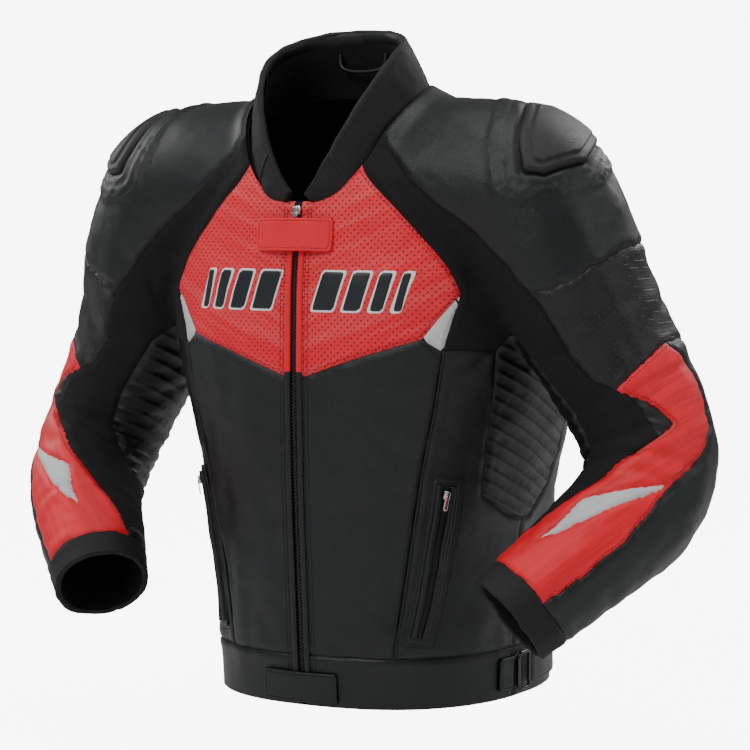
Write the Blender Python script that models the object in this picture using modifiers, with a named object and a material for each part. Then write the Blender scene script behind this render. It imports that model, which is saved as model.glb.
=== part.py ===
"""Leather riding jacket, worn shape, front facing -Y, hem plane at z = 0. Metres."""

import math

import bmesh
import bpy
import numpy as np
from mathutils import Matrix, Vector

# Driving dimensions
SEAM_GAP = 0.0002
LEATHER_THICK = 0.0022
LINER_DEPTH = 0.0044
LINER_THICK = 0.0014
ZIP_HALF_WIDTH = 0.0075
WAISTBAND_HEIGHT = 0.049
GUSSET_OUTER_X = 0.225
COLLAR_THICK = 0.0030
STRAP_WIDTH = 0.030
RING_WIRE = 0.0018
TORSO_COLUMNS = 36
LINER_COLUMNS = 24
SLEEVE_LINER_COLUMNS = 14
SLEEVE_COLUMNS = 18

# Torso rows: height, half width, front y, back y, roundness power
TORSO_ROWS = [
    (0.000, 0.155, -0.143, 0.183, 2.4),
    (0.050, 0.155, -0.147, 0.181, 2.4),
    (0.110, 0.157, -0.151, 0.179, 2.4),
    (0.170, 0.162, -0.155, 0.178, 2.45),
    (0.225, 0.171, -0.158, 0.177, 2.5),
    (0.280, 0.184, -0.160, 0.174, 2.55),
    (0.335, 0.195, -0.160, 0.165, 2.6),
    (0.400, 0.200, -0.159, 0.148, 2.6),
    (0.450, 0.194, -0.1537, 0.124, 2.5),
    (0.500, 0.178, -0.1485, 0.092, 2.4),
    (0.530, 0.166, -0.140, 0.066, 2.3),
    (0.555, 0.150, -0.131, 0.044, 2.2),
    (0.572, 0.130, -0.120, 0.026, 2.1),
    (0.585, 0.108, -0.108, 0.010, 2.0),
    (0.597, 0.082, -0.094, -0.004, 2.0),
    (0.610, 0.050, -0.080, -0.020, 2.0),
]

# Sleeve stations of the left arm: centre x, y, z, radius across, radius in depth
SLEEVE_STATIONS = [
    (0.080, -0.050, 0.497, 0.084, 0.084),
    (0.120, -0.051, 0.499, 0.084, 0.084),
    (0.160, -0.052, 0.497, 0.083, 0.083),
    (0.196, -0.052, 0.482, 0.082, 0.082),
    (0.220, -0.050, 0.448, 0.077, 0.079),
    (0.240, -0.042, 0.400, 0.072, 0.075),
    (0.262, -0.030, 0.350, 0.067, 0.071),
    (0.290, -0.024, 0.297, 0.064, 0.067),
    (0.312, -0.030, 0.246, 0.062, 0.064),
    (0.311, -0.060, 0.204, 0.060, 0.061),
    (0.288, -0.097, 0.170, 0.056, 0.056),
    (0.257, -0.128, 0.135, 0.051, 0.051),
    (0.2255, -0.158, 0.100, 0.047, 0.047),
]

# Collar of the left half, from the zip round to the middle of the back
NECK_SEAM = [
    (0.0135, -0.1500, 0.484),
    (0.040, -0.146, 0.491),
    (0.066, -0.128, 0.515),
    (0.085, -0.098, 0.555),
    (0.090, -0.066, 0.583),
    (0.076, -0.034, 0.597),
    (0.042, -0.014, 0.603),
    (0.000, -0.008, 0.604),
]
COLLAR_RIM = [
    (0.0095, -0.1560, 0.491),
    (0.026, -0.153, 0.518),
    (0.046, -0.143, 0.556),
    (0.063, -0.122, 0.595),
    (0.070, -0.092, 0.624),
    (0.062, -0.056, 0.641),
    (0.035, -0.031, 0.650),
    (0.000, -0.024, 0.652),
]

SHOULDER_PIVOT = Vector((0.0, -0.050, 0.490))
ELBOW_PIVOT = Vector((0.312, -0.038, 0.236))


def clear_scene():
    for found in list(bpy.data.objects):
        bpy.data.objects.remove(found, do_unlink=True)


clear_scene()
JACKET = bpy.data.collections.new("riding_jacket")
HELPERS = bpy.data.collections.new("cutters")
bpy.context.scene.collection.children.link(JACKET)
bpy.context.scene.collection.children.link(HELPERS)


def new_material(name, colour, roughness, metallic=0.0):
    material = bpy.data.materials.new(name)
    material.use_nodes = True
    shader = material.node_tree.nodes["Principled BSDF"]
    shader.inputs["Base Color"].default_value = (*colour, 1.0)
    shader.inputs["Roughness"].default_value = roughness
    shader.inputs["Metallic"].default_value = metallic
    return material


BLACK_LEATHER = (0.022, 0.024, 0.027)
RED_LEATHER = (0.62, 0.025, 0.030)
STRETCH_BLACK = (0.010, 0.010, 0.011)
SILVER = (0.52, 0.54, 0.54)
STEEL = (0.60, 0.61, 0.62)
FOAM = (0.10, 0.11, 0.12)
LINING = (0.03, 0.03, 0.035)


def helper(mesh, name="cutter"):
    made = bpy.data.objects.new(name, mesh)
    HELPERS.objects.link(made)
    made.hide_render = True
    made.display_type = "WIRE"
    return made


def finish_part(source, name, colour, roughness, metallic=0.0):
    """Turns a helper object into a named sub-part with its own material."""
    HELPERS.objects.unlink(source)
    JACKET.objects.link(source)
    source.hide_render = False
    source.display_type = "TEXTURED"
    source.name = name
    source.data.name = name
    source.data.materials.clear()
    source.data.materials.append(new_material(name + "_finish", colour, roughness, metallic))
    return source


def settle(made):
    """Replaces the mesh with what its modifiers give, with close points joined."""
    bpy.context.view_layer.update()
    graph = bpy.context.evaluated_depsgraph_get()
    mesh = bpy.data.meshes.new_from_object(made.evaluated_get(graph))
    made.modifiers.clear()
    work = bmesh.new()
    work.from_mesh(mesh)
    bmesh.ops.remove_doubles(work, verts=work.verts, dist=0.00002)
    bmesh.ops.dissolve_degenerate(work, dist=0.00002, edges=work.edges)
    bmesh.ops.triangulate(work, faces=work.faces)
    bmesh.ops.recalc_face_normals(work, faces=work.faces)
    if work.calc_volume(signed=True) < 0:
        bmesh.ops.reverse_faces(work, faces=work.faces)
    work.to_mesh(mesh)
    work.free()
    made.data = mesh
    return made


def copy_of(source):
    return helper(source.data.copy())


def combined(first, second, operation):
    """Boolean of two closed helpers. The first one is changed and the second one is kept."""
    cut = first.modifiers.new("cut", "BOOLEAN")
    cut.operation = operation
    cut.solver = "EXACT"
    cut.object = second
    return settle(first)


def discard(*unwanted):
    for item in unwanted:
        bpy.data.objects.remove(item, do_unlink=True)


def loft(rows, close_ends=True, closed_ring=True):
    """Skin between unlike rings that hold the same number of points."""
    work = bmesh.new()
    rings = [[work.verts.new(point) for point in row] for row in rows]
    count = len(rings[0])
    last = count if closed_ring else count - 1
    for low, high in zip(rings, rings[1:]):
        for i in range(last):
            j = (i + 1) % count
            work.faces.new((low[i], low[j], high[j], high[i]))
    if close_ends and closed_ring:
        work.faces.new(rings[0][::-1])
        work.faces.new(rings[-1])
    bmesh.ops.recalc_face_normals(work, faces=work.faces)
    if close_ends and work.calc_volume(signed=True) < 0:
        bmesh.ops.reverse_faces(work, faces=work.faces)
    mesh = bpy.data.meshes.new("loft")
    work.to_mesh(mesh)
    work.free()
    return helper(mesh)


def grown(source, distance):
    """The closed form moved outwards by a distance along its surface normals."""
    made = copy_of(source)
    work = bmesh.new()
    work.from_mesh(made.data)
    work.normal_update()
    moves = [vertex.normal * (vertex.calc_shell_factor() * distance) for vertex in work.verts]
    for vertex, move in zip(work.verts, moves):
        vertex.co += move
    work.to_mesh(made.data)
    work.free()
    return made


def mirrored(source, name, colour, roughness, metallic=0.0):
    mesh = source.data.copy()
    mesh.transform(Matrix.Scale(-1.0, 4, Vector((1.0, 0.0, 0.0))))
    mesh.flip_normals()
    return finish_part(helper(mesh), name, colour, roughness, metallic)


def smooth_line(points, steps):
    """Points along a smooth curve through the given ones."""
    given = np.array(points, float)
    last = len(given) - 1
    out = []
    for i in range(last):
        a = given[max(i - 1, 0)]
        b = given[i]
        c = given[i + 1]
        d = given[min(i + 2, last)]
        for t in np.arange(steps) / steps:
            out.append(
                0.5 * (2 * b + (c - a) * t + (2 * a - 5 * b + 4 * c - d) * t**2
                       + (3 * b - a - 3 * c + d) * t**3)
            )
    out.append(given[-1])
    return np.array(out)


def torso_at(height):
    """Half width, front y, back y and power of the torso at a height."""
    table = np.array(TORSO_ROWS)
    return [float(np.interp(height, table[:, 0], table[:, i])) for i in range(1, 5)]


def torso_ring(height, inset=0.0, count=TORSO_COLUMNS):
    half, front, back, power = torso_at(height)
    half -= inset
    depth = (back - front) / 2 - inset
    middle = (back + front) / 2
    ring = []
    for i in range(count):
        angle = 2 * math.pi * (i + 0.5) / count
        side = math.cos(angle)
        away = math.sin(angle)
        x = half * math.copysign(abs(side) ** (2 / power), side)
        y = middle + depth * math.copysign(abs(away) ** (2 / power), away)
        ring.append((x, y, height))
    return ring


def front_y(x, height):
    half, front, back, power = torso_at(height)
    share = max(0.0, 1 - (abs(x) / half) ** power) ** (1 / power)
    return (front + back) / 2 - (back - front) / 2 * share


def front_normal(x, height):
    step = 0.002
    slope_x = (front_y(x + step, height) - front_y(x - step, height)) / (2 * step)
    slope_z = (front_y(x, height + step) - front_y(x, height - step)) / (2 * step)
    return Vector((slope_x, -1.0, slope_z)).normalized()


def sleeve_rows(inset=0.0, steps=1, count=SLEEVE_COLUMNS, extend=0.0):
    stations = smooth_line(SLEEVE_STATIONS, steps)
    centres = stations[:, :3].copy()
    if extend:
        end = centres[-1] - centres[-2]
        centres[-1] += end / np.linalg.norm(end) * extend
    along = np.gradient(centres, axis=0)
    for _ in range(3):
        along[1:-1] = (along[:-2] + 2 * along[1:-1] + along[2:]) / 4
    rows = []
    for centre, direction, across, deep in zip(centres, along, stations[:, 3], stations[:, 4]):
        direction = direction / np.linalg.norm(direction)
        outward = np.cross(direction, (0.0, 1.0, 0.0))
        outward /= np.linalg.norm(outward)
        depth = np.cross(outward, direction)
        angles = 2 * np.pi * np.arange(count) / count
        ring = (
            centre
            + np.outer(np.cos(angles) * (across - inset), outward)
            + np.outer(np.sin(angles) * (deep - inset), depth)
        )
        rows.append([tuple(point) for point in ring])
    return rows


def outline_cutter(points, axis, low, high, grow=0.0):
    """Prism over a flat outline. Axis Y reads the outline as (x, z), axis X as (y, z)."""
    outline = np.array(points, float)
    if grow:
        outline = offset_outline(outline, grow)
    curve = bpy.data.curves.new("outline", "CURVE")
    curve.dimensions = "2D"
    curve.fill_mode = "BOTH"
    curve.extrude = (high - low) / 2
    spline = curve.splines.new("POLY")
    spline.points.add(len(outline) - 1)
    for point, (u, v) in zip(spline.points, outline):
        point.co = (u, v, 0.0, 1.0)
    spline.use_cyclic_u = True
    shape = bpy.data.objects.new("outline", curve)
    HELPERS.objects.link(shape)
    bpy.context.view_layer.update()
    graph = bpy.context.evaluated_depsgraph_get()
    mesh = bpy.data.meshes.new_from_object(shape.evaluated_get(graph))
    bpy.data.objects.remove(shape, do_unlink=True)
    middle = (low + high) / 2
    if axis == "Y":
        place = Matrix(((1, 0, 0, 0), (0, 0, -1, middle), (0, 1, 0, 0), (0, 0, 0, 1)))
    else:
        place = Matrix(((0, 0, 1, middle), (1, 0, 0, 0), (0, 1, 0, 0), (0, 0, 0, 1)))
    mesh.transform(place)
    return settle(helper(mesh))


def offset_outline(outline, distance):
    """The outline moved outwards by a distance, with mitred corners."""
    after = np.roll(outline, -1, axis=0)
    area = 0.5 * np.sum(outline[:, 0] * after[:, 1] - after[:, 0] * outline[:, 1])
    side = after - outline
    side = side / np.linalg.norm(side, axis=1)[:, None]
    normal = np.stack([side[:, 1], -side[:, 0]], axis=1) * (1 if area > 0 else -1)
    before = np.roll(normal, 1, axis=0)
    middle = normal + before
    middle = middle / np.sum(middle * normal, axis=1)[:, None]
    return outline + middle * distance


def box_helper(low, high):
    work = bmesh.new()
    bmesh.ops.create_cube(work, size=1.0)
    mesh = bpy.data.meshes.new("box")
    work.to_mesh(mesh)
    work.free()
    size = [b - a for a, b in zip(low, high)]
    middle = [(a + b) / 2 for a, b in zip(low, high)]
    mesh.transform(Matrix.Translation(middle) @ Matrix.Diagonal((*size, 1.0)))
    return helper(mesh)


def frame_matrix(origin, along, outward):
    """Local X runs along the piece, local Z points out of the garment."""
    x_axis = Vector(along).normalized()
    z_axis = (Vector(outward) - x_axis * Vector(outward).dot(x_axis)).normalized()
    y_axis = z_axis.cross(x_axis)
    rotation = Matrix((x_axis, y_axis, z_axis)).transposed().to_4x4()
    return Matrix.Translation(origin) @ rotation


def slab(place, size, centre=(0.0, 0.0, 0.0), bevel=0.0):
    """Rectangular block in a local frame, with bevelled edges."""
    work = bmesh.new()
    bmesh.ops.create_cube(work, size=1.0)
    mesh = bpy.data.meshes.new("slab")
    work.to_mesh(mesh)
    work.free()
    mesh.transform(Matrix.Translation(centre) @ Matrix.Diagonal((*size, 1.0)))
    made = helper(mesh)
    if bevel:
        edge = made.modifiers.new("edge", "BEVEL")
        edge.width = bevel
        edge.segments = 1
        settle(made)
    made.data.transform(place)
    return made


def tube(points, radius, cyclic=False, sides=1):
    """Round wire along a polyline."""
    curve = bpy.data.curves.new("wire", "CURVE")
    curve.dimensions = "3D"
    curve.bevel_depth = radius
    curve.bevel_resolution = sides
    curve.use_fill_caps = not cyclic
    spline = curve.splines.new("POLY")
    spline.points.add(len(points) - 1)
    for point, where in zip(spline.points, points):
        point.co = (*where, 1.0)
    spline.use_cyclic_u = cyclic
    shape = bpy.data.objects.new("wire", curve)
    HELPERS.objects.link(shape)
    bpy.context.view_layer.update()
    graph = bpy.context.evaluated_depsgraph_get()
    mesh = bpy.data.meshes.new_from_object(shape.evaluated_get(graph))
    bpy.data.objects.remove(shape, do_unlink=True)
    return settle(helper(mesh))


def largest_body(made):
    """Keeps only the biggest connected piece, which drops loose chips left by a cut."""
    work = bmesh.new()
    work.from_mesh(made.data)
    todo = set(work.verts)
    groups = []
    while todo:
        stack = [todo.pop()]
        group = set(stack)
        while stack:
            vertex = stack.pop()
            for edge in vertex.link_edges:
                other = edge.other_vert(vertex)
                if other in todo:
                    todo.remove(other)
                    group.add(other)
                    stack.append(other)
        groups.append(group)
    groups.sort(key=len, reverse=True)
    loose = [vertex for group in groups[1:] for vertex in group]
    bmesh.ops.delete(work, geom=loose, context="VERTS")
    work.to_mesh(made.data)
    work.free()
    return made


def carve(rest, cutter_of):
    """Takes one panel out of the remaining shell and leaves a seam gap round it."""
    tight = cutter_of(-SEAM_GAP)
    loose = cutter_of(SEAM_GAP)
    panel = largest_body(combined(copy_of(rest), tight, "INTERSECT"))
    rest = combined(rest, loose, "DIFFERENCE")
    discard(tight, loose)
    return panel, rest


def plane_cutter(point, normal, size=0.30):
    """Big block whose lower face lies on a plane, filling the side the normal points to."""
    direction = Vector(normal).normalized()
    turn = Vector((0.0, 0.0, 1.0)).rotation_difference(direction).to_matrix().to_4x4()
    made = box_helper((-size / 2, -size / 2, 0.0), (size / 2, size / 2, size))
    made.data.transform(Matrix.Translation(point) @ turn)
    return made


# Torso and sleeve forms, and what they make together
torso_rows = [torso_ring(row[0]) for row in TORSO_ROWS]
torso_form = loft(torso_rows)
torso_deep = loft([torso_ring(-0.02)] + torso_rows)
sleeve_form = loft(sleeve_rows(steps=2))
sleeve_deep = loft(sleeve_rows(steps=2) + [sleeve_rows(steps=2, extend=0.03)[-1]])


def right_copy(source):
    mesh = source.data.copy()
    mesh.transform(Matrix.Scale(-1.0, 4, Vector((1.0, 0.0, 0.0))))
    mesh.flip_normals()
    return helper(mesh)


# Coarser forms for the lining, which lies inside the shell
liner_rows = [torso_ring(row[0], 0.0, LINER_COLUMNS) for row in TORSO_ROWS]
liner_form = loft(liner_rows)
liner_deep = loft([torso_ring(-0.02, 0.0, LINER_COLUMNS)] + liner_rows)
liner_arm_rows = sleeve_rows(steps=2, count=SLEEVE_LINER_COLUMNS)
liner_arm_form = loft(liner_arm_rows)
liner_arm_end = sleeve_rows(steps=2, count=SLEEVE_LINER_COLUMNS, extend=0.03)[-1]
liner_arm_deep = loft(liner_arm_rows + [liner_arm_end])


def joined_form(body, sleeve, depth):
    """Torso and both sleeves as one closed form, moved inwards by a depth."""
    whole = grown(body, -depth)
    left = grown(sleeve, -depth)
    right = right_copy(left)
    whole = combined(whole, left, "UNION")
    whole = combined(whole, right, "UNION")
    discard(left, right)
    return whole


def garment_layer(forms, outer_depth, inner_depth):
    """Shell between two depths, open at the hem and the cuffs."""
    body, body_deep, sleeve, sleeve_inside = forms
    layer = joined_form(body, sleeve, outer_depth)
    inside = joined_form(body_deep, sleeve_inside, inner_depth)
    layer = combined(layer, inside, "DIFFERENCE")
    discard(inside)
    return layer


# Neck opening
def full_ring(left_line):
    """Left half line, from the front round to the back, and its mirror back to the front."""
    left = [Vector(point) for point in left_line]
    right = [Vector((-point.x, point.y, point.z)) for point in reversed(left[:-1])]
    return left + right


def torso_value(point):
    half, front, back, power = torso_at(point.z)
    depth = (back - front) / 2
    away = abs((point.y - (back + front) / 2) / depth)
    return (abs(point.x / half) ** power + away**power) ** (1 / power) - 1


def neck_direction(point):
    """Direction across the neck seam, leaning forward at the throat and back at the nape."""
    share = min(1.0, max(0.0, (point.y + 0.150) / 0.142))
    return Vector((0.0, -0.75 + 1.05 * share, 0.66 + 0.30 * share)).normalized()


def on_torso(point):
    """Moves a point across the neck seam until it meets the torso surface."""
    across = neck_direction(point)
    low = point - across * 0.03
    high = point + across * 0.03
    if torso_value(low) > 0 or torso_value(high) < 0:
        return point
    for _ in range(30):
        middle = (low + high) / 2
        if torso_value(middle) > 0:
            high = middle
        else:
            low = middle
    return low


seam_line = [on_torso(Vector(point)) for point in smooth_line(NECK_SEAM, 2)]
neck_ring = full_ring(seam_line)
neck_middle = sum(neck_ring, Vector()) / len(neck_ring)


def neck_cutter(grow):
    wide = []
    for point in neck_ring:
        away = point - neck_middle
        wide.append(point + away.normalized() * grow)
    low = [point - neck_direction(point) * 0.030 for point in wide]
    high = [point + neck_direction(point) * 0.120 for point in wide]
    return loft([low, wide, high])


neck_hole = neck_cutter(0.0008)
zip_slot = box_helper((-ZIP_HALF_WIDTH, -0.30, -0.05), (ZIP_HALF_WIDTH, -0.08, 0.60))
shell_forms = (torso_form, torso_deep, sleeve_form, sleeve_deep)
shell = garment_layer(shell_forms, 0.0, LEATHER_THICK)
for tool in (neck_hole, zip_slot):
    shell = combined(shell, tool, "DIFFERENCE")

# Each arm beyond its armhole seam, outline in x and z
ARM_OUTLINE = [
    (GUSSET_OUTER_X, 0.80), (GUSSET_OUTER_X, 0.325), (0.206, 0.290), (0.168, 0.140),
    (0.165, -0.050), (0.500, -0.050), (0.500, 0.800),
]
GUSSET_OUTLINE = [
    (0.170, 0.62), (0.172, 0.53), (0.190, 0.47), (0.2035, 0.42), (0.2035, 0.28), (0.26, 0.28),
    (0.26, 0.62),
]
YOKE_OUTLINE = [
    (0.060, 0.64), (0.074, 0.552), (0.136, 0.484), (0.172, 0.435), (0.197, 0.395),
    (0.26, 0.395), (0.26, 0.64),
]


def through_cut(outline):
    return lambda grow: outline_cutter(outline, "Y", -0.5, 0.5, grow)


arm, shell = carve(shell, through_cut(ARM_OUTLINE))
shell = combined(shell, right_copy(through_cut(ARM_OUTLINE)(SEAM_GAP)), "DIFFERENCE")

# Waistband: back piece and two front pieces
side_seam_y = -0.004


def back_band(grow):
    return box_helper((-0.4, side_seam_y - grow, -0.05), (0.4, 0.4, WAISTBAND_HEIGHT + grow))


def front_band(grow):
    return box_helper((0.0, -0.4, -0.05), (0.4, side_seam_y + grow, WAISTBAND_HEIGHT + grow))


def mirror_cut(cutter_of):
    """The same cutter on the right side."""
    return lambda grow: right_copy(cutter_of(grow))


waistband_back, shell = carve(shell, back_band)
finish_part(waistband_back, "waistband_back", BLACK_LEATHER, 0.5)


def side_pair(rest, cutter_of, name, colour, roughness, metallic=0.0):
    """Carves the left panel, and makes the right one as its mirror image."""
    panel, rest = carve(rest, cutter_of)
    finish_part(panel, name + "_left", colour, roughness, metallic)
    mirrored(panel, name + "_right", colour, roughness, metallic)
    other = mirror_cut(cutter_of)(SEAM_GAP)
    rest = combined(rest, other, "DIFFERENCE")
    discard(other)
    return rest


shell = side_pair(shell, front_band, "waistband_front", BLACK_LEATHER, 0.5)
shell = side_pair(shell, through_cut(GUSSET_OUTLINE), "armhole_gusset", STRETCH_BLACK, 0.8)
shell = side_pair(shell, through_cut(YOKE_OUTLINE), "shoulder_yoke", BLACK_LEATHER, 0.5)

# Chest panel, reflective wedge, raglan band and lower fronts, outlines in x and z
CHEST_OUTLINE = [
    (0.000, 0.315), (0.065, 0.337), (0.127, 0.356), (0.158, 0.3985), (0.150, 0.418),
    (0.136, 0.438), (0.100, 0.477), (0.066, 0.510), (0.050, 0.530), (0.000, 0.530),
]
WEDGE_OUTLINE = [(0.127, 0.356), (0.1435, 0.344), (0.158, 0.3985)]
RAGLAN_OUTLINE = [
    (0.143, 0.344), (0.150, 0.380), (0.100, 0.400), (0.040, 0.500), (0.050, 0.580),
    (0.120, 0.570), (0.240, 0.460), (0.240, 0.344),
]
FRONT_OUTLINE = [
    (0.000, 0.020), (0.088, 0.020), (0.103, 0.130), (0.119, 0.222), (0.134, 0.290),
    (0.1435, 0.344), (0.127, 0.356), (0.065, 0.337), (0.000, 0.315),
]
FRONT_REACH = (-0.40, 0.0)


def front_cut(outline):
    return lambda grow: outline_cutter(outline, "Y", FRONT_REACH[0], FRONT_REACH[1], grow)


shell = side_pair(shell, front_cut(CHEST_OUTLINE), "chest_panel", RED_LEATHER, 0.45)
shell = side_pair(shell, front_cut(WEDGE_OUTLINE), "chest_wedge", SILVER, 0.35, 0.3)
shell = side_pair(shell, front_cut(FRONT_OUTLINE), "front_panel", BLACK_LEATHER, 0.5)

# Ribbed side panel, outline in y and z, and the raglan band above it
SIDE_OUTLINE = [
    (-0.072, 0.205), (0.000, 0.180), (0.050, 0.215), (0.062, 0.300), (0.060, 0.470),
    (-0.060, 0.470), (-0.068, 0.400), (-0.086, 0.343),
]


def side_cut(grow):
    return outline_cutter(SIDE_OUTLINE, "X", 0.100, 0.300, grow)


shell = side_pair(shell, side_cut, "side_stretch", STRETCH_BLACK, 0.8)
shell = side_pair(shell, front_cut(RAGLAN_OUTLINE), "raglan_band", STRETCH_BLACK, 0.8)

# Pocket panels fill the rest of the lower front on each side
POCKET_OUTLINE = [(-0.30, 0.02), (side_seam_y, 0.02), (side_seam_y, 0.20), (-0.050, 0.345), (-0.30, 0.345)]


def pocket_cut(grow):
    return outline_cutter(POCKET_OUTLINE, "X", 0.020, 0.300, grow)


shell = side_pair(shell, pocket_cut, "pocket_panel", BLACK_LEATHER, 0.5)


# Back: lumbar stretch band, lower back, upper back with the shoulders
def lumbar_cut(grow):
    return box_helper((-0.125 - grow, 0.05, 0.150 - grow), (0.125 + grow, 0.4, 0.205 + grow))


def lower_back_cut(grow):
    return box_helper((-0.4, -0.40, 0.03), (0.4, 0.4, 0.340 + grow))


lumbar, shell = carve(shell, lumbar_cut)
finish_part(lumbar, "lumbar_stretch", STRETCH_BLACK, 0.8)
lower_back, shell = carve(shell, lower_back_cut)
finish_part(lower_back, "back_panel_lower", BLACK_LEATHER, 0.5)
upper_back = largest_body(shell)
finish_part(upper_back, "back_panel_upper", BLACK_LEATHER, 0.5)

# Torso lining, open at the neck, the armholes, the hem and the zip
liner_forms = (liner_form, liner_deep, liner_arm_form, liner_arm_deep)
liner = garment_layer(liner_forms, LINER_DEPTH, LINER_DEPTH + LINER_THICK)
for tool in (neck_hole, zip_slot):
    liner = combined(liner, tool, "DIFFERENCE")
arm_liner, liner = carve(liner, through_cut(ARM_OUTLINE))
armhole_side = box_helper((0.2035, -0.4, 0.0), (0.4, 0.4, 0.8))
liner = combined(liner, armhole_side, "DIFFERENCE")
liner = combined(liner, right_copy(armhole_side), "DIFFERENCE")
liner = combined(liner, right_copy(through_cut(ARM_OUTLINE)(SEAM_GAP)), "DIFFERENCE")
finish_part(largest_body(liner), "torso_liner", LINING, 0.85)
finish_part(arm_liner, "sleeve_liner_left", LINING, 0.85)
mirrored(arm_liner, "sleeve_liner_right", LINING, 0.85)

# Collar shell and its lining
rim_line = smooth_line(COLLAR_RIM, 2)


def collar_layer(inset, thickness, low_share, high_share):
    """Band between the neck seam and the rim, set in from the outer face."""
    seam = [np.array(point) for point in full_ring(seam_line)]
    rim = [np.array(point) for point in full_ring(rim_line)]
    rows = []
    shares = np.linspace(low_share, high_share, 4)
    for share in shares:
        rows.append([s + (r - s) * share for s, r in zip(seam, rim)])
    rows = np.array(rows)
    around = np.gradient(rows, axis=1)
    upward = np.gradient(rows, axis=0)
    normal = np.cross(around, upward)
    normal /= np.linalg.norm(normal, axis=2)[:, :, None]
    middle = rows.mean(axis=(0, 1))
    if np.sum(normal * (rows - middle)) < 0:
        normal = -normal
    outer = rows - normal * inset
    inner = rows - normal * (inset + thickness)
    sections = []
    for i in range(outer.shape[1]):
        sections.append([*map(tuple, outer[:, i]), *map(tuple, inner[::-1, i])])
    return loft(sections)


collar_shell = collar_layer(0.0006, COLLAR_THICK, 0.03, 1.0)
collar_lining = collar_layer(0.0022 + COLLAR_THICK, LINER_THICK, 0.05, 0.97)
finish_part(collar_shell, "collar_shell", STRETCH_BLACK, 0.6)
finish_part(collar_lining, "collar_lining", LINING, 0.85)

# Panels of the left arm, each with its mirror image on the right
def arm_pair(rest, cutter_of, name, colour, roughness, metallic=0.0):
    panel, rest = carve(rest, cutter_of)
    finish_part(panel, name + "_left", colour, roughness, metallic)
    mirrored(panel, name + "_right", colour, roughness, metallic)
    return rest


UPPER_END = (Vector((0.302, -0.025, 0.272)), Vector((0.38, -0.06, -0.92)))
FOREARM_START = (Vector((0.302, -0.079, 0.186)), Vector((-0.52, -0.60, -0.61)))
CUFF_START = (Vector((0.250, -0.1345, 0.1275)), Vector((-0.551, -0.551, -0.626)))


def beyond(station):
    point, direction = station
    return lambda grow: plane_cutter(point - direction.normalized() * grow, direction)


arm = arm_pair(arm, beyond(CUFF_START), "cuff", STRETCH_BLACK, 0.85)

# Forearm: reflective chevron, red panel on the front, black panel underneath
forearm_origin = Vector((0.276, -0.108, 0.158))
forearm_along = Vector((-0.515, -0.585, -0.627)).normalized()
forearm_out = Vector((0.40, -0.80, 0.44))
forearm_place = frame_matrix(forearm_origin, forearm_along, forearm_out)


def chevron_cut(grow):
    """Long triangle on the outer front face, in the forearm's own frame."""
    made = outline_cutter(
        [(-0.036, 0.045), (-0.018, -0.012), (0.004, -0.034), (0.040, 0.050)], "Y", 0.0, 0.10, grow
    )
    to_local = Matrix(((1, 0, 0, 0), (0, 0, 1, 0), (0, 1, 0, 0), (0, 0, 0, 1)))
    made.data.transform(to_local)
    made.data.flip_normals()
    made.data.transform(forearm_place)
    return made


def outer_cut(grow):
    direction = forearm_place.to_3x3() @ Vector((0.0, -1.0, -0.35))
    point = forearm_origin + direction.normalized() * (0.012 - grow)
    return plane_cutter(point, direction)


forearm, arm = carve(arm, beyond(FOREARM_START))
forearm = arm_pair(forearm, outer_cut, "forearm_outer", BLACK_LEATHER, 0.5)
forearm = arm_pair(forearm, chevron_cut, "forearm_chevron", SILVER, 0.35, 0.3)
finish_part(largest_body(forearm), "forearm_red_left", RED_LEATHER, 0.45)
mirrored(forearm, "forearm_red_right", RED_LEATHER, 0.45)
arm = arm_pair(arm, beyond(UPPER_END), "elbow_gusset", STRETCH_BLACK, 0.8)
finish_part(largest_body(arm), "upper_sleeve_left", BLACK_LEATHER, 0.5)
mirrored(arm, "upper_sleeve_right", BLACK_LEATHER, 0.5)


# Hard shoulder cups over the shoulder seam, outline seen square to the cup
cup_place = frame_matrix(
    Vector((0.222, -0.066, 0.534)),
    Vector((0.02, -0.75, -0.66)),
    Vector((0.62, -0.33, 0.55)),
)
CUP_OUTLINE = [
    (-0.050, -0.020), (-0.036, -0.034), (0.030, -0.030), (0.046, -0.014), (0.040, 0.016),
    (0.006, 0.036), (-0.034, 0.034), (-0.050, 0.014),
]


def local_prism(outline, place, low, high):
    """Prism over an outline in a piece's own frame, running along its outward axis."""
    made = outline_cutter(outline, "Y", low, high)
    made.data.transform(Matrix(((1, 0, 0, 0), (0, 0, 1, 0), (0, 1, 0, 0), (0, 0, 0, 1))))
    made.data.flip_normals()
    made.data.transform(place)
    return made


def sleeve_patch(outer_lift, inner_lift, tool):
    """Part of a layer that follows the sleeve at a lift above or below its face."""
    patch = grown(sleeve_form, outer_lift)
    inside = grown(sleeve_form, inner_lift)
    patch = combined(patch, tool, "INTERSECT")
    patch = combined(patch, inside, "DIFFERENCE")
    discard(inside, tool)
    return largest_body(patch)


cup = sleeve_patch(0.0062, 0.0010, local_prism(CUP_OUTLINE, cup_place, -0.05, 0.06))
finish_part(cup, "shoulder_cup_left", (0.03, 0.032, 0.035), 0.3)
mirrored(cup, "shoulder_cup_right", (0.03, 0.032, 0.035), 0.3)

# Elbow armour inside the sleeve, on the outer side of the bend
elbow_place = frame_matrix(
    Vector((0.345, -0.035, 0.205)),
    Vector((-0.35, -0.42, -0.83)),
    Vector((0.80, 0.45, -0.40)),
)
PAD_OUTLINE = [
    (-0.034, -0.030), (0.040, -0.026), (0.055, -0.012), (0.055, 0.012), (0.040, 0.026), (-0.034, 0.030),
]
pad = sleeve_patch(-0.0084, -0.0148, local_prism(PAD_OUTLINE, elbow_place, -0.06, 0.06))
finish_part(pad, "elbow_pad_left", FOAM, 0.9)
mirrored(pad, "elbow_pad_right", FOAM, 0.9)

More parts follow.
